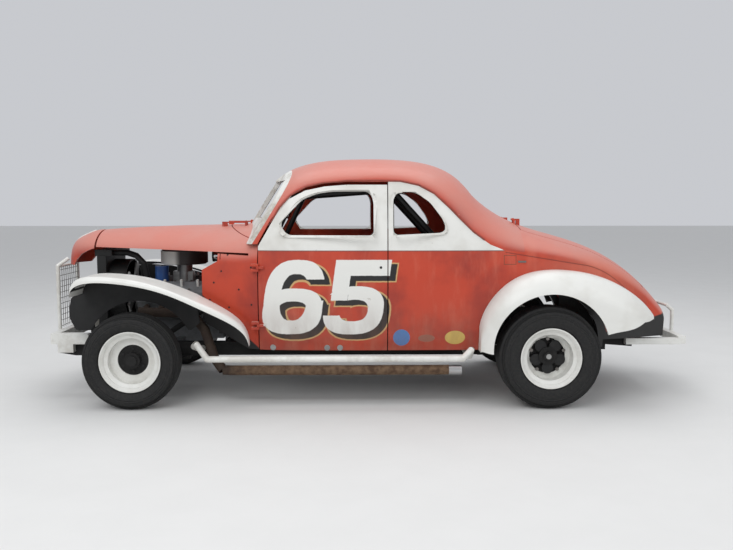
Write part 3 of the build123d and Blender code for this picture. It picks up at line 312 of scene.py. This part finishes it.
def side_paint():
    """Faded red with a white window surround, the race number and blank decals."""
    coat = Finish("side_paint")
    left = coat.y.below(0.0)
    fine = coat.noise(38, 5, 0.6)
    broad = coat.noise(2.2, 4, 0.6)
    streak = coat.noise(9, 4, 0.6, (1, 1, 0.25))
    red = coat.mix(broad.above(0.56, 0.16), RED, RED_DARK)
    red = coat.mix(streak.above(0.6, 0.14) * 0.45, red, RED_PALE)
    # faces that look up turn paler red: a painted sky reflection
    top = coat.up().above(0.45, 0.35)
    red = coat.mix(top * (0.45 + broad * 0.5), red, RED_SKY_SHEEN)
    u = (coat.x - NUMBER_X) * (left * 2.0 - 1.0)
    v = coat.z - NUMBER_Z
    face = number(u, v)
    shade = number(u - SHADOW_BACK, v + SHADOW_DOWN)
    wear = (fine - 0.5) * 0.006
    colour = coat.mix((shade + wear).below(OUTLINE), red, TAN)
    colour = coat.mix((shade + wear).below(SHADOW_EDGE), colour, BLACK)
    chip = (fine * 0.6 + streak * 0.4).above(0.66, 0.02)
    number_white = coat.mix(chip * 0.7, WHITE, WHITE_DIRTY)
    colour = coat.mix((face + wear).below(0.0), colour, number_white)
    for x, z, wide, tall, tint in DECALS:
        spot = (((coat.x - x) / wide) ** 2 + ((coat.z - z) / tall) ** 2).below(1.0, 0.05)
        colour = coat.mix(spot * left, colour, tint)
    slant = (coat.z - SURROUND_LOW).least(SURROUND_RISE) * SURROUND_LEAN
    ahead = (coat.x + slant).below(SURROUND_REAR, 0.002)
    surround = coat.z.above(BELT_Z, 0.0015) * ahead
    pale = coat.mix(broad.above(0.55, 0.1) * 0.35, WHITE, WHITE_DIRTY)
    pale = coat.mix(fine.above(0.72, 0.02) * 0.6, pale, RUST)
    colour = coat.mix(surround, colour, pale)
    lid = bar(coat.x, coat.z, *FILLER_LID).size().below(0.0025, 0.001)
    colour = coat.mix(lid * left * 0.8, colour, RUST)
    belt = (coat.z - BELT_Z).size().below(0.0035, 0.0015) * ahead
    colour = coat.mix(belt * 0.75, colour, BELT_LINE)
    fade = coat.x.above(1.25, 0.35) * coat.z.above(0.78, 0.14) * coat.z.below(1.02, 0.06)
    colour = coat.mix(fade * (0.3 + broad * 0.5) * surround.below(0.5), colour, RED_PALE)
    crease = coat.z - crease_height(coat)
    # a dark line along the crease over the rear fender: painted shade in the crease
    crease_shade = crease.size().below(0.003, 0.0025) * coat.x.above(SURROUND_REAR, 0.004)
    colour = coat.mix(crease_shade * 0.7, colour, RED_CREASE_SHADE)
    colour = coat.mix(coat.outward().above(-0.5, 0.1), red, colour)
    dust = coat.z.below(0.62, 0.2) * streak.above(0.45, 0.2)
    colour = coat.mix(dust * 0.35, colour, DUST)
    # black painted shade in the rear wheel arch and under the tail
    colour = coat.mix(shaded_tail(coat), colour, BLACK)
    swell = crease.above(0.0, 0.012) * coat.x.above(1.0, 0.06)
    coat.bump(broad * 0.7 + fine * 0.05 + swell * 0.9, 0.25, 0.01)
    return coat.set(colour, 0.36 + fine * 0.2, 0.0, 0.12)


def top_paint():
    """The same red on the panels that face up, paler where they face up as a painted sky reflection,
    with pale chalky specks.
    """
    coat = Finish("top_paint")
    fine = coat.noise(30, 5, 0.6)
    broad = coat.noise(1.7, 4, 0.6)
    up = coat.up().above(0.35, 0.4)
    red = coat.mix(broad.above(0.55, 0.15), RED, RED_DARK)
    # paler where the panel faces up: a painted sky reflection
    red = coat.mix(up * (0.35 + broad * 0.7), red, RED_SKY_SHEEN)
    red = coat.mix(fine.above(0.7, 0.03) * 0.4, red, linear(216, 160, 140))
    # black painted shade in the rear wheel arch and under the tail
    colour = coat.mix(shaded_tail(coat), red, BLACK)
    coat.bump(broad * 0.7 + fine * 0.04, 0.25, 0.01)
    return coat.set(colour, 0.38 + fine * 0.2, 0.0, 0.1)


def cowl_paint():
    """Red on the cowl's side, black where the fender shades it."""
    coat = Finish("cowl_paint")
    fine = coat.noise(34, 5, 0.6)
    broad = coat.noise(2.4, 4, 0.6)
    red = coat.mix(broad.above(0.56, 0.16), RED, RED_DARK)
    # paler where the cowl faces up: a painted sky reflection
    red = coat.mix(coat.up().above(0.35, 0.4) * (0.35 + broad * 0.7), red, RED_SKY_SHEEN)
    red = coat.mix(fine.above(0.7, 0.03) * 0.5, red, linear(120, 52, 38))
    # black below this line: painted shade cast by the front fender
    shaded = (coat.z + coat.x * COWL_SLOPE).below(COWL_Z, 0.006)
    coat.bump(broad * 0.7 + fine * 0.04, 0.25, 0.01)
    return coat.set(coat.mix(shaded, red, BLACK), 0.42 + fine * 0.2, 0.0, 0.05)


def worn_white(name, grime):
    """White paint with a share of grime and rust."""
    coat = Finish(name)
    fine = coat.noise(26, 5, 0.62)
    broad = coat.noise(4, 3, 0.6)
    colour = coat.mix((broad * 0.6 + fine * 0.4).above(0.52, 0.12) * grime, WHITE, WHITE_DIRTY)
    colour = coat.mix(fine.above(0.735, 0.02) * grime, colour, RUST)
    return coat.set(colour, 0.4 + fine * 0.15, 0.0, 0.1)


def fender_paint():
    """Clean white outside, black on what turns inward over the wheel or faces down: black paint inside
    the fenders that also stands for painted shade in the wheel wells.
    """
    coat = Finish("fender_paint")
    broad = coat.noise(4, 3, 0.6)
    colour = coat.mix(broad.above(0.55, 0.12) * 0.22, WHITE, WHITE_DIRTY)
    # black inside and under the fenders: black paint, also standing for painted shade in the wheel
    # wells
    inside = coat.outward().below(-0.08, 0.04).most(coat.up().below(-0.45, 0.05))
    colour = coat.mix(inside, colour, BLACK)
    return coat.set(colour, 0.34 + broad * 0.1, 0.0, 0.15)


def plain(name, colour, rough, metal=0.0, vary=0.3, scale=14.0):
    """One colour with darker patches."""
    coat = Finish(name)
    grain = coat.noise(scale, 4, 0.6)
    darker = tuple(c * (1 - vary) for c in colour)
    patches = coat.mix(grain.above(0.5, 0.2), colour, darker)
    return coat.set(patches, rough + (grain - 0.5) * 0.2, metal, 0.0)


def cleaner_finish():
    """Air cleaner, light grey on its front half as a painted highlight, dark grey behind."""
    coat = Finish("air_cleaner_finish")
    low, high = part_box("air_cleaner")
    grain = coat.noise(24, 4, 0.6)
    middle = (low[0] + high[0]) / 2
    # the lighter front half is a painted highlight
    front = coat.x.below(middle - 0.02, 0.03) * coat.z.below(high[2] - 0.018, 0.002)
    colour = coat.mix(front, linear(52, 46, 44), linear(232, 232, 226))
    return coat.set(colour, 0.45 + grain * 0.1, 0.0, 0.0)


def pipe_finish():
    """Rusty pipe with a bright tip."""
    coat = Finish("exhaust_finish")
    grain = coat.noise(18, 5, 0.65)
    colour = coat.mix(grain.above(0.5, 0.16), linear(128, 104, 80), linear(84, 62, 46))
    # darker towards the front: painted shade on the pipe's front run
    colour = coat.mix(coat.x.below(-0.92, 0.12) * 0.85, colour, linear(46, 38, 34))
    tip = coat.x.above(0.560, 0.001)
    colour = coat.mix(tip, colour, linear(190, 190, 190))
    return coat.set(colour, 0.75 - tip * 0.4, 0.25 + tip * 0.7, 0.0)


def tyre_finish(name, centre, ribs):
    """Black rubber with ribs round the tread and rings on the wall."""
    coat = Finish(name)
    grain = coat.noise(60, 4, 0.6)
    reach = ((coat.x - centre.x) ** 2 + (coat.z - centre.z) ** 2) ** 0.5
    across = coat.y.size() - centre.y
    tread = reach.above(centre.z - 0.022, 0.003)
    rib = (across * (2 * math.pi / ribs)).wave().above(-0.55, 0.25) * tread
    wall = reach.below(centre.z - 0.05) * reach.above(centre.z - 0.075)
    ring = (reach * 420.0).wave() * wall * 0.15
    colour = coat.mix(grain.above(0.55, 0.2), linear(19, 19, 20), linear(34, 33, 31))
    coat.bump(rib + ring + grain * 0.05, 1.0, 0.012)
    return coat.set(colour, 0.78, 0.0, 0.0)


FINISHES = {}


def finishes():
    """All materials of the car, made once."""
    if FINISHES:
        return FINISHES
    FINISHES.update(
        side=side_paint(),
        top=top_paint(),
        cowl=cowl_paint(),
        white=worn_white("white_paint", 0.5),
        fender=fender_paint(),
        post=worn_white("post_paint", 1.0),
        wheel=worn_white("wheel_paint", 0.3),
        rail=plain("rail_paint", linear(150, 62, 46), 0.5),
        black=plain("black_paint", linear(14, 14, 14), 0.6),
        under=plain("chassis_black", linear(20, 19, 18), 0.8),
        iron=plain("engine_grey", linear(120, 122, 124), 0.5, 0.2),
        alloy=plain("cast_alloy", linear(170, 170, 168), 0.42, 0.7),
        steel=plain("bare_steel", linear(130, 126, 122), 0.4, 0.8),
        chrome=plain("chrome", linear(214, 214, 214), 0.12, 1.0, 0.05),
        blue=plain("blue_paint", linear(44, 84, 146), 0.4),
        hose=plain("hose_rubber", linear(30, 30, 30), 0.6),
        vinyl=plain("seat_vinyl", linear(36, 34, 33), 0.6),
        pipe=pipe_finish(),
        cleaner=cleaner_finish(),
        front_tyre=tyre_finish("front_tyre_rubber", FRONT_WHEEL, 0.030),
        rear_tyre=tyre_finish("rear_tyre_rubber", REAR_WHEEL, 0.036),
        ground=plain("ground", linear(222, 222, 220), 0.9, 0.0, 0.02, 3.0),
    )
    return FINISHES


# ---------------------------------------------------------------- Shapes

PATH_SIDES = 8
HEXAGON = 6
ROUND = 24
SHARP = math.radians(35)  # past this angle an edge is shown hard
WELL_OUTSIDE = 2.0  # a distance from the middle plane, clear of the car
PAST_PANEL_Y = 0.64  # how far out the flank is taken to be just past the end of its panel
LEAN_NEAR, LEAN_FAR = 1.30, 1.55  # two points beyond a window's edge, as shares of the way to it


def placed(bm, name, body, finish, slot, smooth=True):
    """Makes a shown piece of a bmesh, riding on a CAD body."""
    bmesh.ops.recalc_face_normals(bm, faces=bm.faces)
    mesh = bpy.data.meshes.new(name)
    bm.to_mesh(mesh)
    bm.free()
    piece = bpy.data.objects.new(name, mesh)
    bpy.context.scene.collection.objects.link(piece)
    mesh.materials.append(finishes()[finish])
    if smooth:
        mesh.shade_smooth()
        mesh.set_sharp_from_angle(angle=SHARP)
    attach(piece, body)
    return piece


def add_rod(bm, start, end, radius, sides):
    """A round bar between two points."""
    start, end = Vector(start), Vector(end)
    run = end - start
    turn = run.to_track_quat("Z", "Y").to_matrix().to_4x4()
    bmesh.ops.create_cone(
        bm, cap_ends=True, segments=sides, radius1=radius, radius2=radius, depth=run.length,
        matrix=Matrix.Translation((start + end) / 2) @ turn,
    )


def add_path(bm, points, radius):
    """A bent round bar through points."""
    for start, end in zip(points, points[1:]):
        add_rod(bm, start, end, radius, PATH_SIDES)
    for point in points[1:-1]:
        place = Matrix.Translation(Vector(point))
        bmesh.ops.create_uvsphere(
            bm, u_segments=PATH_SIDES, v_segments=6, radius=radius, matrix=place
        )


def add_box(bm, low, high):
    """A box between two corners."""
    place = Matrix.Translation((low + high) / 2) @ Matrix.Diagonal((*(high - low), 1.0))
    bmesh.ops.create_cube(bm, size=1.0, matrix=place)


def shell(*names):
    """A tree of CAD faces, to set trim on."""
    corners, faces = [], []
    for name in names:
        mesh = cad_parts[name].data
        first = len(corners)
        corners += [v.co.copy() for v in mesh.vertices]
        faces += [[first + i for i in f.vertices] for f in mesh.polygons]
    return BVHTree.FromPolygons(corners, faces)


def beside(tree, x, z, side, lift=0.0):
    """The point at (x, z) on the outside of one flank of the car."""
    hit = tree.ray_cast(Vector((x, side * WELL_OUTSIDE, z)), Vector((0, -side, 0)))
    y = hit[0].y if hit[0] else side * PAST_PANEL_Y
    return Vector((x, y + side * lift, z))


def leaning(tree, x, z, side, centre):
    """How far out the flank lies at a point in an opening, from two points beyond its edge."""
    away = Vector((x, z)) - Vector(centre)
    near, far = (Vector(centre) + away * share for share in (LEAN_NEAR, LEAN_FAR))
    y_near = beside(tree, near.x, near.y, side).y
    y_far = beside(tree, far.x, far.y, side).y
    return y_near + (y_near - y_far) * (LEAN_NEAR - 1.0) / (LEAN_FAR - LEAN_NEAR)


def station(distance):
    """x of a place so far behind the middle of the wheelbase, in metres."""
    return MIDDLE + distance


# ---------------------------------------------------------------- Tables

PAINTED = {
    "side": ("door_left", "door_right", "rear_body"),
    "cowl": ("cowl",),
    "top": ("roof", "hood", "grille_shell", "decklid", "tail_panel"),
    "post": ("windshield_frame",),
    "white": ("front_bumper", "rear_bumper", "side_bars"),
    "fender": ("front_fenders", "rear_fenders"),
    "black": ("fender_aprons", "roll_cage", "dashboard", "radiator", "fuel_tank", "steering_wheel"),
    "cleaner": ("air_cleaner",),
    "under": (
        "frame_rails", "floor_pan", "front_axle", "rear_axle", "leaf_springs", "knuckle_left",
        "knuckle_right", "steering_column", "hub_front_left", "hub_front_right", "hub_rear_left",
        "hub_rear_right",
    ),
    "iron": ("engine_block", "cylinder_heads"),
    "alloy": ("carburettor", "fan"),
    "blue": ("oil_filter",),
    "steel": ("tie_rod", "drag_link", "pitman_arm"),
    "hose": ("radiator_hose",),
    "vinyl": ("seat",),
    "pipe": ("exhaust_pipes",),
    "wheel": ("rim_front_left", "rim_front_right", "rim_rear_left", "rim_rear_right"),
    "front_tyre": ("tyre_front_left", "tyre_front_right"),
    "rear_tyre": ("tyre_rear_left", "tyre_rear_right"),
}

# Wheel fittings: piece, wheel, count, first angle, circle, inner and outer reach from the
# wheel's middle plane, radius, sides, finish, slot and whether it is smooth
WHEEL_FITTINGS = (
    ("rear_nuts", "rear", 5, 90, 0.118, -0.020, -0.008, None, 6, "steel", "bare_steel", False),
    ("rear_star", "rear", 5, 126, 0.085, -0.028, 0.002, 0.040, 20, "black", "black_paint", True),
    ("rear_cap", "rear", 1, 0, 0.0, 0.016, 0.036, 0.018, 16, "alloy", "bare_alloy", True),
    ("front_bolts", "front", 6, 30, 0.078, -0.028, -0.018, 0.009, 6, "black", "black_paint", False),
)

# Window outlines as (station, height) in mm
WINDOWS = {
    "door": (
        (-424, 1260), (-372, 1180), (228, 1180), (228, 1424), (196, 1482), (-60, 1480), (-165, 1465),
        (-268, 1425),
    ),
    "quarter": (
        (358, 1182), (356, 1448), (408, 1478), (509, 1478), (612, 1407), (697, 1294), (722, 1233),
        (706, 1198),
    ),
}
WINDOW_INNER = 0.985  # inner line of a window's edge, as a share of the window
WINDOW_LIFT = 0.003  # of the edge off the panel
WINDOW_THICK = 0.012
WINDOW_CORNER_STEPS = 5

# Round fittings in the engine bay and on the dashboard: piece, finish, slot, then the front and
# rear station, y, z and radius of each
CAN_Y, CAN_Z = -0.200, 1.012
GAUGE_FRONT, GAUGE_Z = -0.561, 0.985
GAUGE_ROW = (-0.20, -0.38, -0.03)
ROUND_FITTINGS = (
    ("firewall_can", "chrome", "bare_alloy", ((-0.948, -0.868, CAN_Y, CAN_Z, 0.044),)),
    (
        "firewall_can_rims", "black", "black_paint",
        ((-0.962, -0.948, CAN_Y, CAN_Z, 0.046), (-0.868, -0.855, CAN_Y, CAN_Z, 0.046)),
    ),
    (
        "gauge_faces", "white", "white_paint",
        tuple((GAUGE_FRONT, GAUGE_FRONT + 0.008, y, GAUGE_Z, 0.038) for y in GAUGE_ROW),
    ),
    (
        "gauge_rims", "chrome", "bare_alloy",
        tuple((GAUGE_FRONT, GAUGE_FRONT + 0.006, y, GAUGE_Z, 0.044) for y in GAUGE_ROW),
    ),
)
PLUG_STATIONS = (-1.42, -1.30, -1.18, -1.06)
PLUG_Y = 0.285
HEAD_BOLT_ROWS = (0.235, 0.310)
HEAD_BOLT_BACK = 0.06  # from a plug to the bolts behind it
HEAD_TOP = 1.4  # a height well over the heads

# Guard mesh
MESH_STATION = -2.110
MESH_WIRE = 0.0022
MESH_HALF, MESH_LOW, MESH_HIGH = 0.195, 0.465, 0.925
MESH_PITCH_Z, MESH_ROWS, MESH_FIRST_Z = 0.042, 11, 0.482
MESH_PITCH_Y, MESH_COLUMNS, MESH_FIRST_Y = 0.04, 10, -0.18

# Drip rail over the doors as (station, height) in mm
DRIP_RAIL = (
    (-482, 1268), (-418, 1374), (-345, 1455), (-240, 1513), (-114, 1540), (41, 1554), (251, 1556),
    (408, 1552), (533, 1526), (639, 1469), (745, 1370), (831, 1281), (909, 1205), (985, 1150),
)
LATCH = (1.244, 1.000)  # station and height
WASHERS = ((-0.473, 0.403), (-0.097, 0.403), (-0.008, 0.403))
LOCK = (0.2735, 0.963)
COWL_BOLTS = (
    (-0.792, 1.041), (-0.840, 0.926), (-0.897, 0.844), (-0.786, 0.674), (-0.711, 0.803),
    (-0.62, 0.96), (-0.62, 0.70), (-0.93, 0.72), (-0.86, 0.58),
)
COWL_BOLT_RADIUS, COWL_BOLT_HALF = 0.007, 0.003
NOSE_STATION, NOSE_Z = -1.84, 0.95  # centre of the fan of rays that finds the nose's middle line
NOSE_DEGREES = range(2, 86, 7)
STRIP_RADIUS = 0.011
STRIP_SUNK = 0.003

# Lights: name, place, size and power
LAMPS = (
    ("key", (-3.0, -6.0, 6.0), 5.0, 230.0),
    ("fill", (5.0, -5.0, 4.0), 5.0, 90.0),
    ("top", (0.0, 1.0, 7.0), 6.0, 170.0),
)
AIM = Vector((0, 0, 0.7))
SKY = (0.93, 0.95, 1.0, 1.0)
SKY_STRENGTH = 0.62

# Camera of the photo, fitted to its four wheels
CAMERA_PLACE = Vector((-0.0811, -5.8634, 1.4052))
CAMERA_YAW, CAMERA_PITCH = math.radians(0.733), math.radians(5.456)
FOCAL_PIXELS, PHOTO_WIDTH = 760, 733
SENSOR = 36.0


# ---------------------------------------------------------------- Settings


class TrimSettings(bpy.types.PropertyGroup):
    washer_radius: bpy.props.FloatProperty(
        name="Washer radius", description="Radius of the round washers on the left door",
        default=0.020, subtype="DISTANCE", unit="LENGTH",
    )
    rail_radius: bpy.props.FloatProperty(
        name="Drip rail radius", description="Half-thickness of the rain gutter over the doors",
        default=0.0063, subtype="DISTANCE", unit="LENGTH",
    )
    window_edge: bpy.props.FloatProperty(
        name="Window edge share",
        description="How much larger the outer line of a window's edge is than the window",
        default=0.075, subtype="FACTOR", unit="NONE",
    )
    window_corner: bpy.props.FloatProperty(
        name="Window corner", description="Length cut from each corner of a side window",
        default=0.034, subtype="DISTANCE", unit="LENGTH",
    )
    nut_radius: bpy.props.FloatProperty(
        name="Lug nut radius", description="Half-width of a wheel nut",
        default=0.013, subtype="DISTANCE", unit="LENGTH",
    )


class PaintOperator(bpy.types.Operator):
    """Gives each CAD piece in the paint table its finish"""

    bl_idname = "stock_car.paint"
    bl_label = "Paint the panels and the running gear"

    def execute(self, context):
        kit = finishes()
        for finish, names in PAINTED.items():
            for name in names:
                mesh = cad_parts[name].data
                mesh.materials.clear()
                mesh.materials.append(kit[finish])
        return {"FINISHED"}


class WheelOperator(bpy.types.Operator):
    """Adds nuts, hub stars and caps to the wheels"""

    bl_idname = "stock_car.wheels"
    bl_label = "Fit out the wheels"

    def execute(self, context):
        nut = context.scene.stock_car_trim.nut_radius
        centres = {"front": FRONT_WHEEL, "rear": REAR_WHEEL}
        for side, word in SIDES_AND_WORDS:
            for fitting in WHEEL_FITTINGS:
                piece, wheel, count, first, circle, inner, outer, radius, sides, *look = fitting
                centre = centres[wheel]
                bm = bmesh.new()
                for turn in range(count):
                    angle = math.radians(first + 360 / count * turn)
                    x = centre.x + math.cos(angle) * circle
                    z = centre.z + math.sin(angle) * circle
                    start, end = (Vector((x, side * (centre.y + reach), z)) for reach in (inner, outer))
                    add_rod(bm, start, end, radius or nut, sides)
                placed(bm, f"{piece}_{word}", f"wheel_{wheel}_{word}", *look)
        return {"FINISHED"}


class WindowOperator(bpy.types.Operator):
    """Adds a raised edge with round corners to the four side windows"""

    bl_idname = "stock_car.windows"
    bl_label = "Edge the side windows"

    def execute(self, context):
        settings = context.scene.stock_car_trim
        for side, word in SIDES_AND_WORDS:
            for window, outline in WINDOWS.items():
                door = f"door_{word}"
                node, body = (door, door) if window == "door" else ("rear_body", "body")
                tree = shell(node)
                bm = bmesh.new()
                rim = [bm.verts.new((station(s / 1000), 0, z / 1000)) for s, z in outline]
                pane = bm.faces.new(rim)
                centre = pane.calc_center_median()
                bmesh.ops.bevel(
                    bm, geom=rim, affect="VERTICES", offset=settings.window_corner,
                    segments=WINDOW_CORNER_STEPS, profile=0.5, material=-1,
                )
                bmesh.ops.delete(bm, geom=bm.faces, context="FACES_ONLY")
                inner = list(bm.edges)
                outer = [
                    item for item in bmesh.ops.duplicate(bm, geom=[*bm.verts, *inner])["geom"]
                    if isinstance(item, bmesh.types.BMEdge)
                ]
                for loop, share in ((inner, WINDOW_INNER), (outer, 1.0 + settings.window_edge)):
                    grow = Matrix.Scale(share, 4)
                    grow = Matrix.Translation(centre) @ grow @ Matrix.Translation(-centre)
                    verts = list({vert for edge in loop for vert in edge.verts})
                    bmesh.ops.transform(bm, matrix=grow, verts=verts)
                bmesh.ops.bridge_loops(bm, edges=[*inner, *outer])
                bmesh.ops.triangulate(bm, faces=bm.faces)
                for vert in bm.verts:
                    flank = leaning(tree, vert.co.x, vert.co.z, side, (centre.x, centre.z))
                    vert.co.y = flank + side * WINDOW_LIFT
                bmesh.ops.solidify(bm, geom=bm.faces, thickness=WINDOW_THICK)
                placed(bm, f"{window}_window_edge_{word}", body, "white", "white_paint", False)
        return {"FINISHED"}


class EngineOperator(bpy.types.Operator):
    """Adds the firewall can, the plug boots, the head bolts and the gauges"""

    bl_idname = "stock_car.engine"
    bl_label = "Dress the engine bay"

    def execute(self, context):
        for piece, finish, slot, rounds in ROUND_FITTINGS:
            bm = bmesh.new()
            for front, rear, y, z, radius in rounds:
                add_rod(bm, (station(front), y, z), (station(rear), y, z), radius, ROUND)
            placed(bm, piece, "body", finish, slot)
        head = shell("cylinder_heads")
        for side, word in SIDES_AND_WORDS:
            boots, bolts = bmesh.new(), bmesh.new()
            for plug in PLUG_STATIONS:
                start = Vector((station(plug), side * PLUG_Y, HEAD_TOP))
                spot = head.ray_cast(start, Vector((0, 0, -1)))[0]
                if spot is None:
                    raise RuntimeError("no cylinder head under a plug")
                tip = spot + Vector((0, side * 0.012, 0.045))
                add_rod(boots, spot - Vector((0, 0, 0.004)), tip, 0.010, 10)
                for y in HEAD_BOLT_ROWS:
                    start = Vector((station(plug + HEAD_BOLT_BACK), side * y, HEAD_TOP))
                    hit = head.ray_cast(start, Vector((0, 0, -1)))
                    if hit[0]:
                        add_rod(bolts, hit[0] - hit[1] * 0.002, hit[0] + hit[1] * 0.010, 0.009, 6)
            placed(boots, f"plug_boots_{word}", "body", "white", "white_paint")
            placed(bolts, f"head_bolts_{word}", "body", "steel", "bare_steel", False)
        return {"FINISHED"}


class TrimOperator(bpy.types.Operator):
    """Adds the drip rails, the grille strip and the mesh of the front guard"""

    bl_idname = "stock_car.trim"
    bl_label = "Add the body trim"

    def execute(self, context):
        bm = bmesh.new()
        x = station(MESH_STATION)
        for row in range(MESH_ROWS):
            z = MESH_FIRST_Z + row * MESH_PITCH_Z
            add_rod(bm, (x, -MESH_HALF, z), (x, MESH_HALF, z), MESH_WIRE, HEXAGON)
        for column in range(MESH_COLUMNS):
            y = MESH_FIRST_Y + column * MESH_PITCH_Y
            add_rod(bm, (x, y, MESH_LOW), (x, y, MESH_HIGH), MESH_WIRE, HEXAGON)
        placed(bm, "guard_mesh", "body", "steel", "bare_steel", False)
        flank = shell("roof", "rear_body", "door_left", "door_right", "cowl")
        for side, word in SIDES_AND_WORDS:
            bm = bmesh.new()
            path = [beside(flank, station(s / 1000), z / 1000, side, 0.002) for s, z in DRIP_RAIL]
            add_path(bm, path, context.scene.stock_car_trim.rail_radius)
            placed(bm, f"drip_rail_{word}", "body", "rail", "worn_red")
        bm = bmesh.new()
        spot = beside(flank, station(LATCH[0]), LATCH[1], -1)
        add_box(bm, spot - Vector((0.028, 0.006, 0.006)), spot + Vector((0.028, 0.004, 0.006)))
        placed(bm, "filler_latch", "body", "steel", "bare_steel", False)
        bm = bmesh.new()
        washer = context.scene.stock_car_trim.washer_radius
        for s, z in WASHERS:
            spot = beside(flank, station(s), z, -1)
            add_rod(bm, spot + Vector((0, 0.004, 0)), spot - Vector((0, 0.004, 0)), washer, 20)
        placed(bm, "door_washers", "door_left", "alloy", "bare_alloy")
        bm = bmesh.new()
        spot = beside(flank, station(LOCK[0]), LOCK[1], -1)
        add_rod(bm, spot + Vector((0, 0.004, 0)), spot - Vector((0, 0.0015, 0)), 0.009, 12)
        placed(bm, "lock_hole", "door_left", "black", "black_paint")
        nose = shell("grille_shell")
        middle = Vector((station(NOSE_STATION), 0.0, NOSE_Z))
        path = []
        for degrees in NOSE_DEGREES:
            away = Vector((-math.cos(math.radians(degrees)), 0, math.sin(math.radians(degrees))))
            hit = nose.ray_cast(middle + away, -away)
            if hit[0]:
                path.append(hit[0] - away * STRIP_SUNK)
        bm = bmesh.new()
        add_path(bm, path, STRIP_RADIUS)
        placed(bm, "nose_strip", "body", "white", "white_paint")
        for side, word in SIDES_AND_WORDS:
            bm = bmesh.new()
            for s, z in COWL_BOLTS:
                spot = beside(flank, station(s), z, side)
                half = Vector((0, side * COWL_BOLT_HALF, 0))
                add_rod(bm, spot - half, spot + half, COWL_BOLT_RADIUS, HEXAGON)
            placed(bm, f"cowl_bolts_{word}", "body", "black", "black_paint", False)
        return {"FINISHED"}


class StageOperator(bpy.types.Operator):
    """Sets the floor, the light and the camera"""

    bl_idname = "stock_car.stage"
    bl_label = "Set the stage"

    def execute(self, context):
        scene = context.scene
        bm = bmesh.new()
        bmesh.ops.create_grid(bm, x_segments=1, y_segments=1, size=40.0)
        mesh = bpy.data.meshes.new("floor")
        bm.to_mesh(mesh)
        bm.free()
        floor = bpy.data.objects.new("floor", mesh)
        scene.collection.objects.link(floor)
        mesh.materials.append(finishes()["ground"])
        world = bpy.data.worlds.new("studio")
        scene.world = world
        world.use_nodes = True
        background = world.node_tree.nodes["Background"]
        background.inputs["Color"].default_value = SKY
        background.inputs["Strength"].default_value = SKY_STRENGTH
        for name, place, size, power in LAMPS:
            light = bpy.data.lights.new(name, "AREA")
            light.size = size
            light.energy = power
            lamp = bpy.data.objects.new(name, light)
            lamp.location = place
            lamp.rotation_euler = (AIM - Vector(place)).to_track_quat("-Z", "Y").to_euler()
            scene.collection.objects.link(lamp)
        level = Vector((math.sin(CAMERA_YAW), math.cos(CAMERA_YAW), 0.0))
        ahead = level * math.cos(CAMERA_PITCH) - Vector((0, 0, math.sin(CAMERA_PITCH)))
        across = Vector((math.cos(CAMERA_YAW), -math.sin(CAMERA_YAW), 0.0))
        upward = across.cross(ahead)
        view = bpy.data.cameras.new("camera")
        view.sensor_width = SENSOR
        view.lens = FOCAL_PIXELS / PHOTO_WIDTH * SENSOR
        view.dof.use_dof = False
        camera = bpy.data.objects.new("camera", view)
        turn = Matrix((across, upward, -ahead)).transposed().to_4x4()
        camera.matrix_world = Matrix.Translation(CAMERA_PLACE) @ turn
        scene.collection.objects.link(camera)
        scene.camera = camera
        scene.view_settings.view_transform = "Standard"
        return {"FINISHED"}


class StockCarPanel(bpy.types.Panel):
    """Lists the steps and their settings"""

    bl_idname = "VIEW3D_PT_stock_car"
    bl_label = "Stock Car"
    bl_space_type = "VIEW_3D"
    bl_region_type = "UI"
    bl_category = "Stock Car"

    def draw(self, context):
        for step in STEPS:
            self.layout.operator(step.bl_idname)
        for name in TrimSettings.__annotations__:
            self.layout.prop(context.scene.stock_car_trim, name)


GROUPS = (TrimSettings,)
STEPS = (PaintOperator, WheelOperator, WindowOperator, EngineOperator, TrimOperator, StageOperator)


def register():
    for kind in (*GROUPS, *STEPS, StockCarPanel):
        bpy.utils.register_class(kind)
    bpy.types.Scene.stock_car_trim = bpy.props.PointerProperty(type=TrimSettings)


def unregister():
    del bpy.types.Scene.stock_car_trim
    for kind in reversed((*GROUPS, *STEPS, StockCarPanel)):
        bpy.utils.unregister_class(kind)


def main():
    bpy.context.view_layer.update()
    register()
    bpy.ops.stock_car.paint()
    bpy.ops.stock_car.wheels()
    bpy.ops.stock_car.windows()
    bpy.ops.stock_car.engine()
    bpy.ops.stock_car.trim()
    bpy.ops.stock_car.stage()


if __name__ == "__main__":
    main()
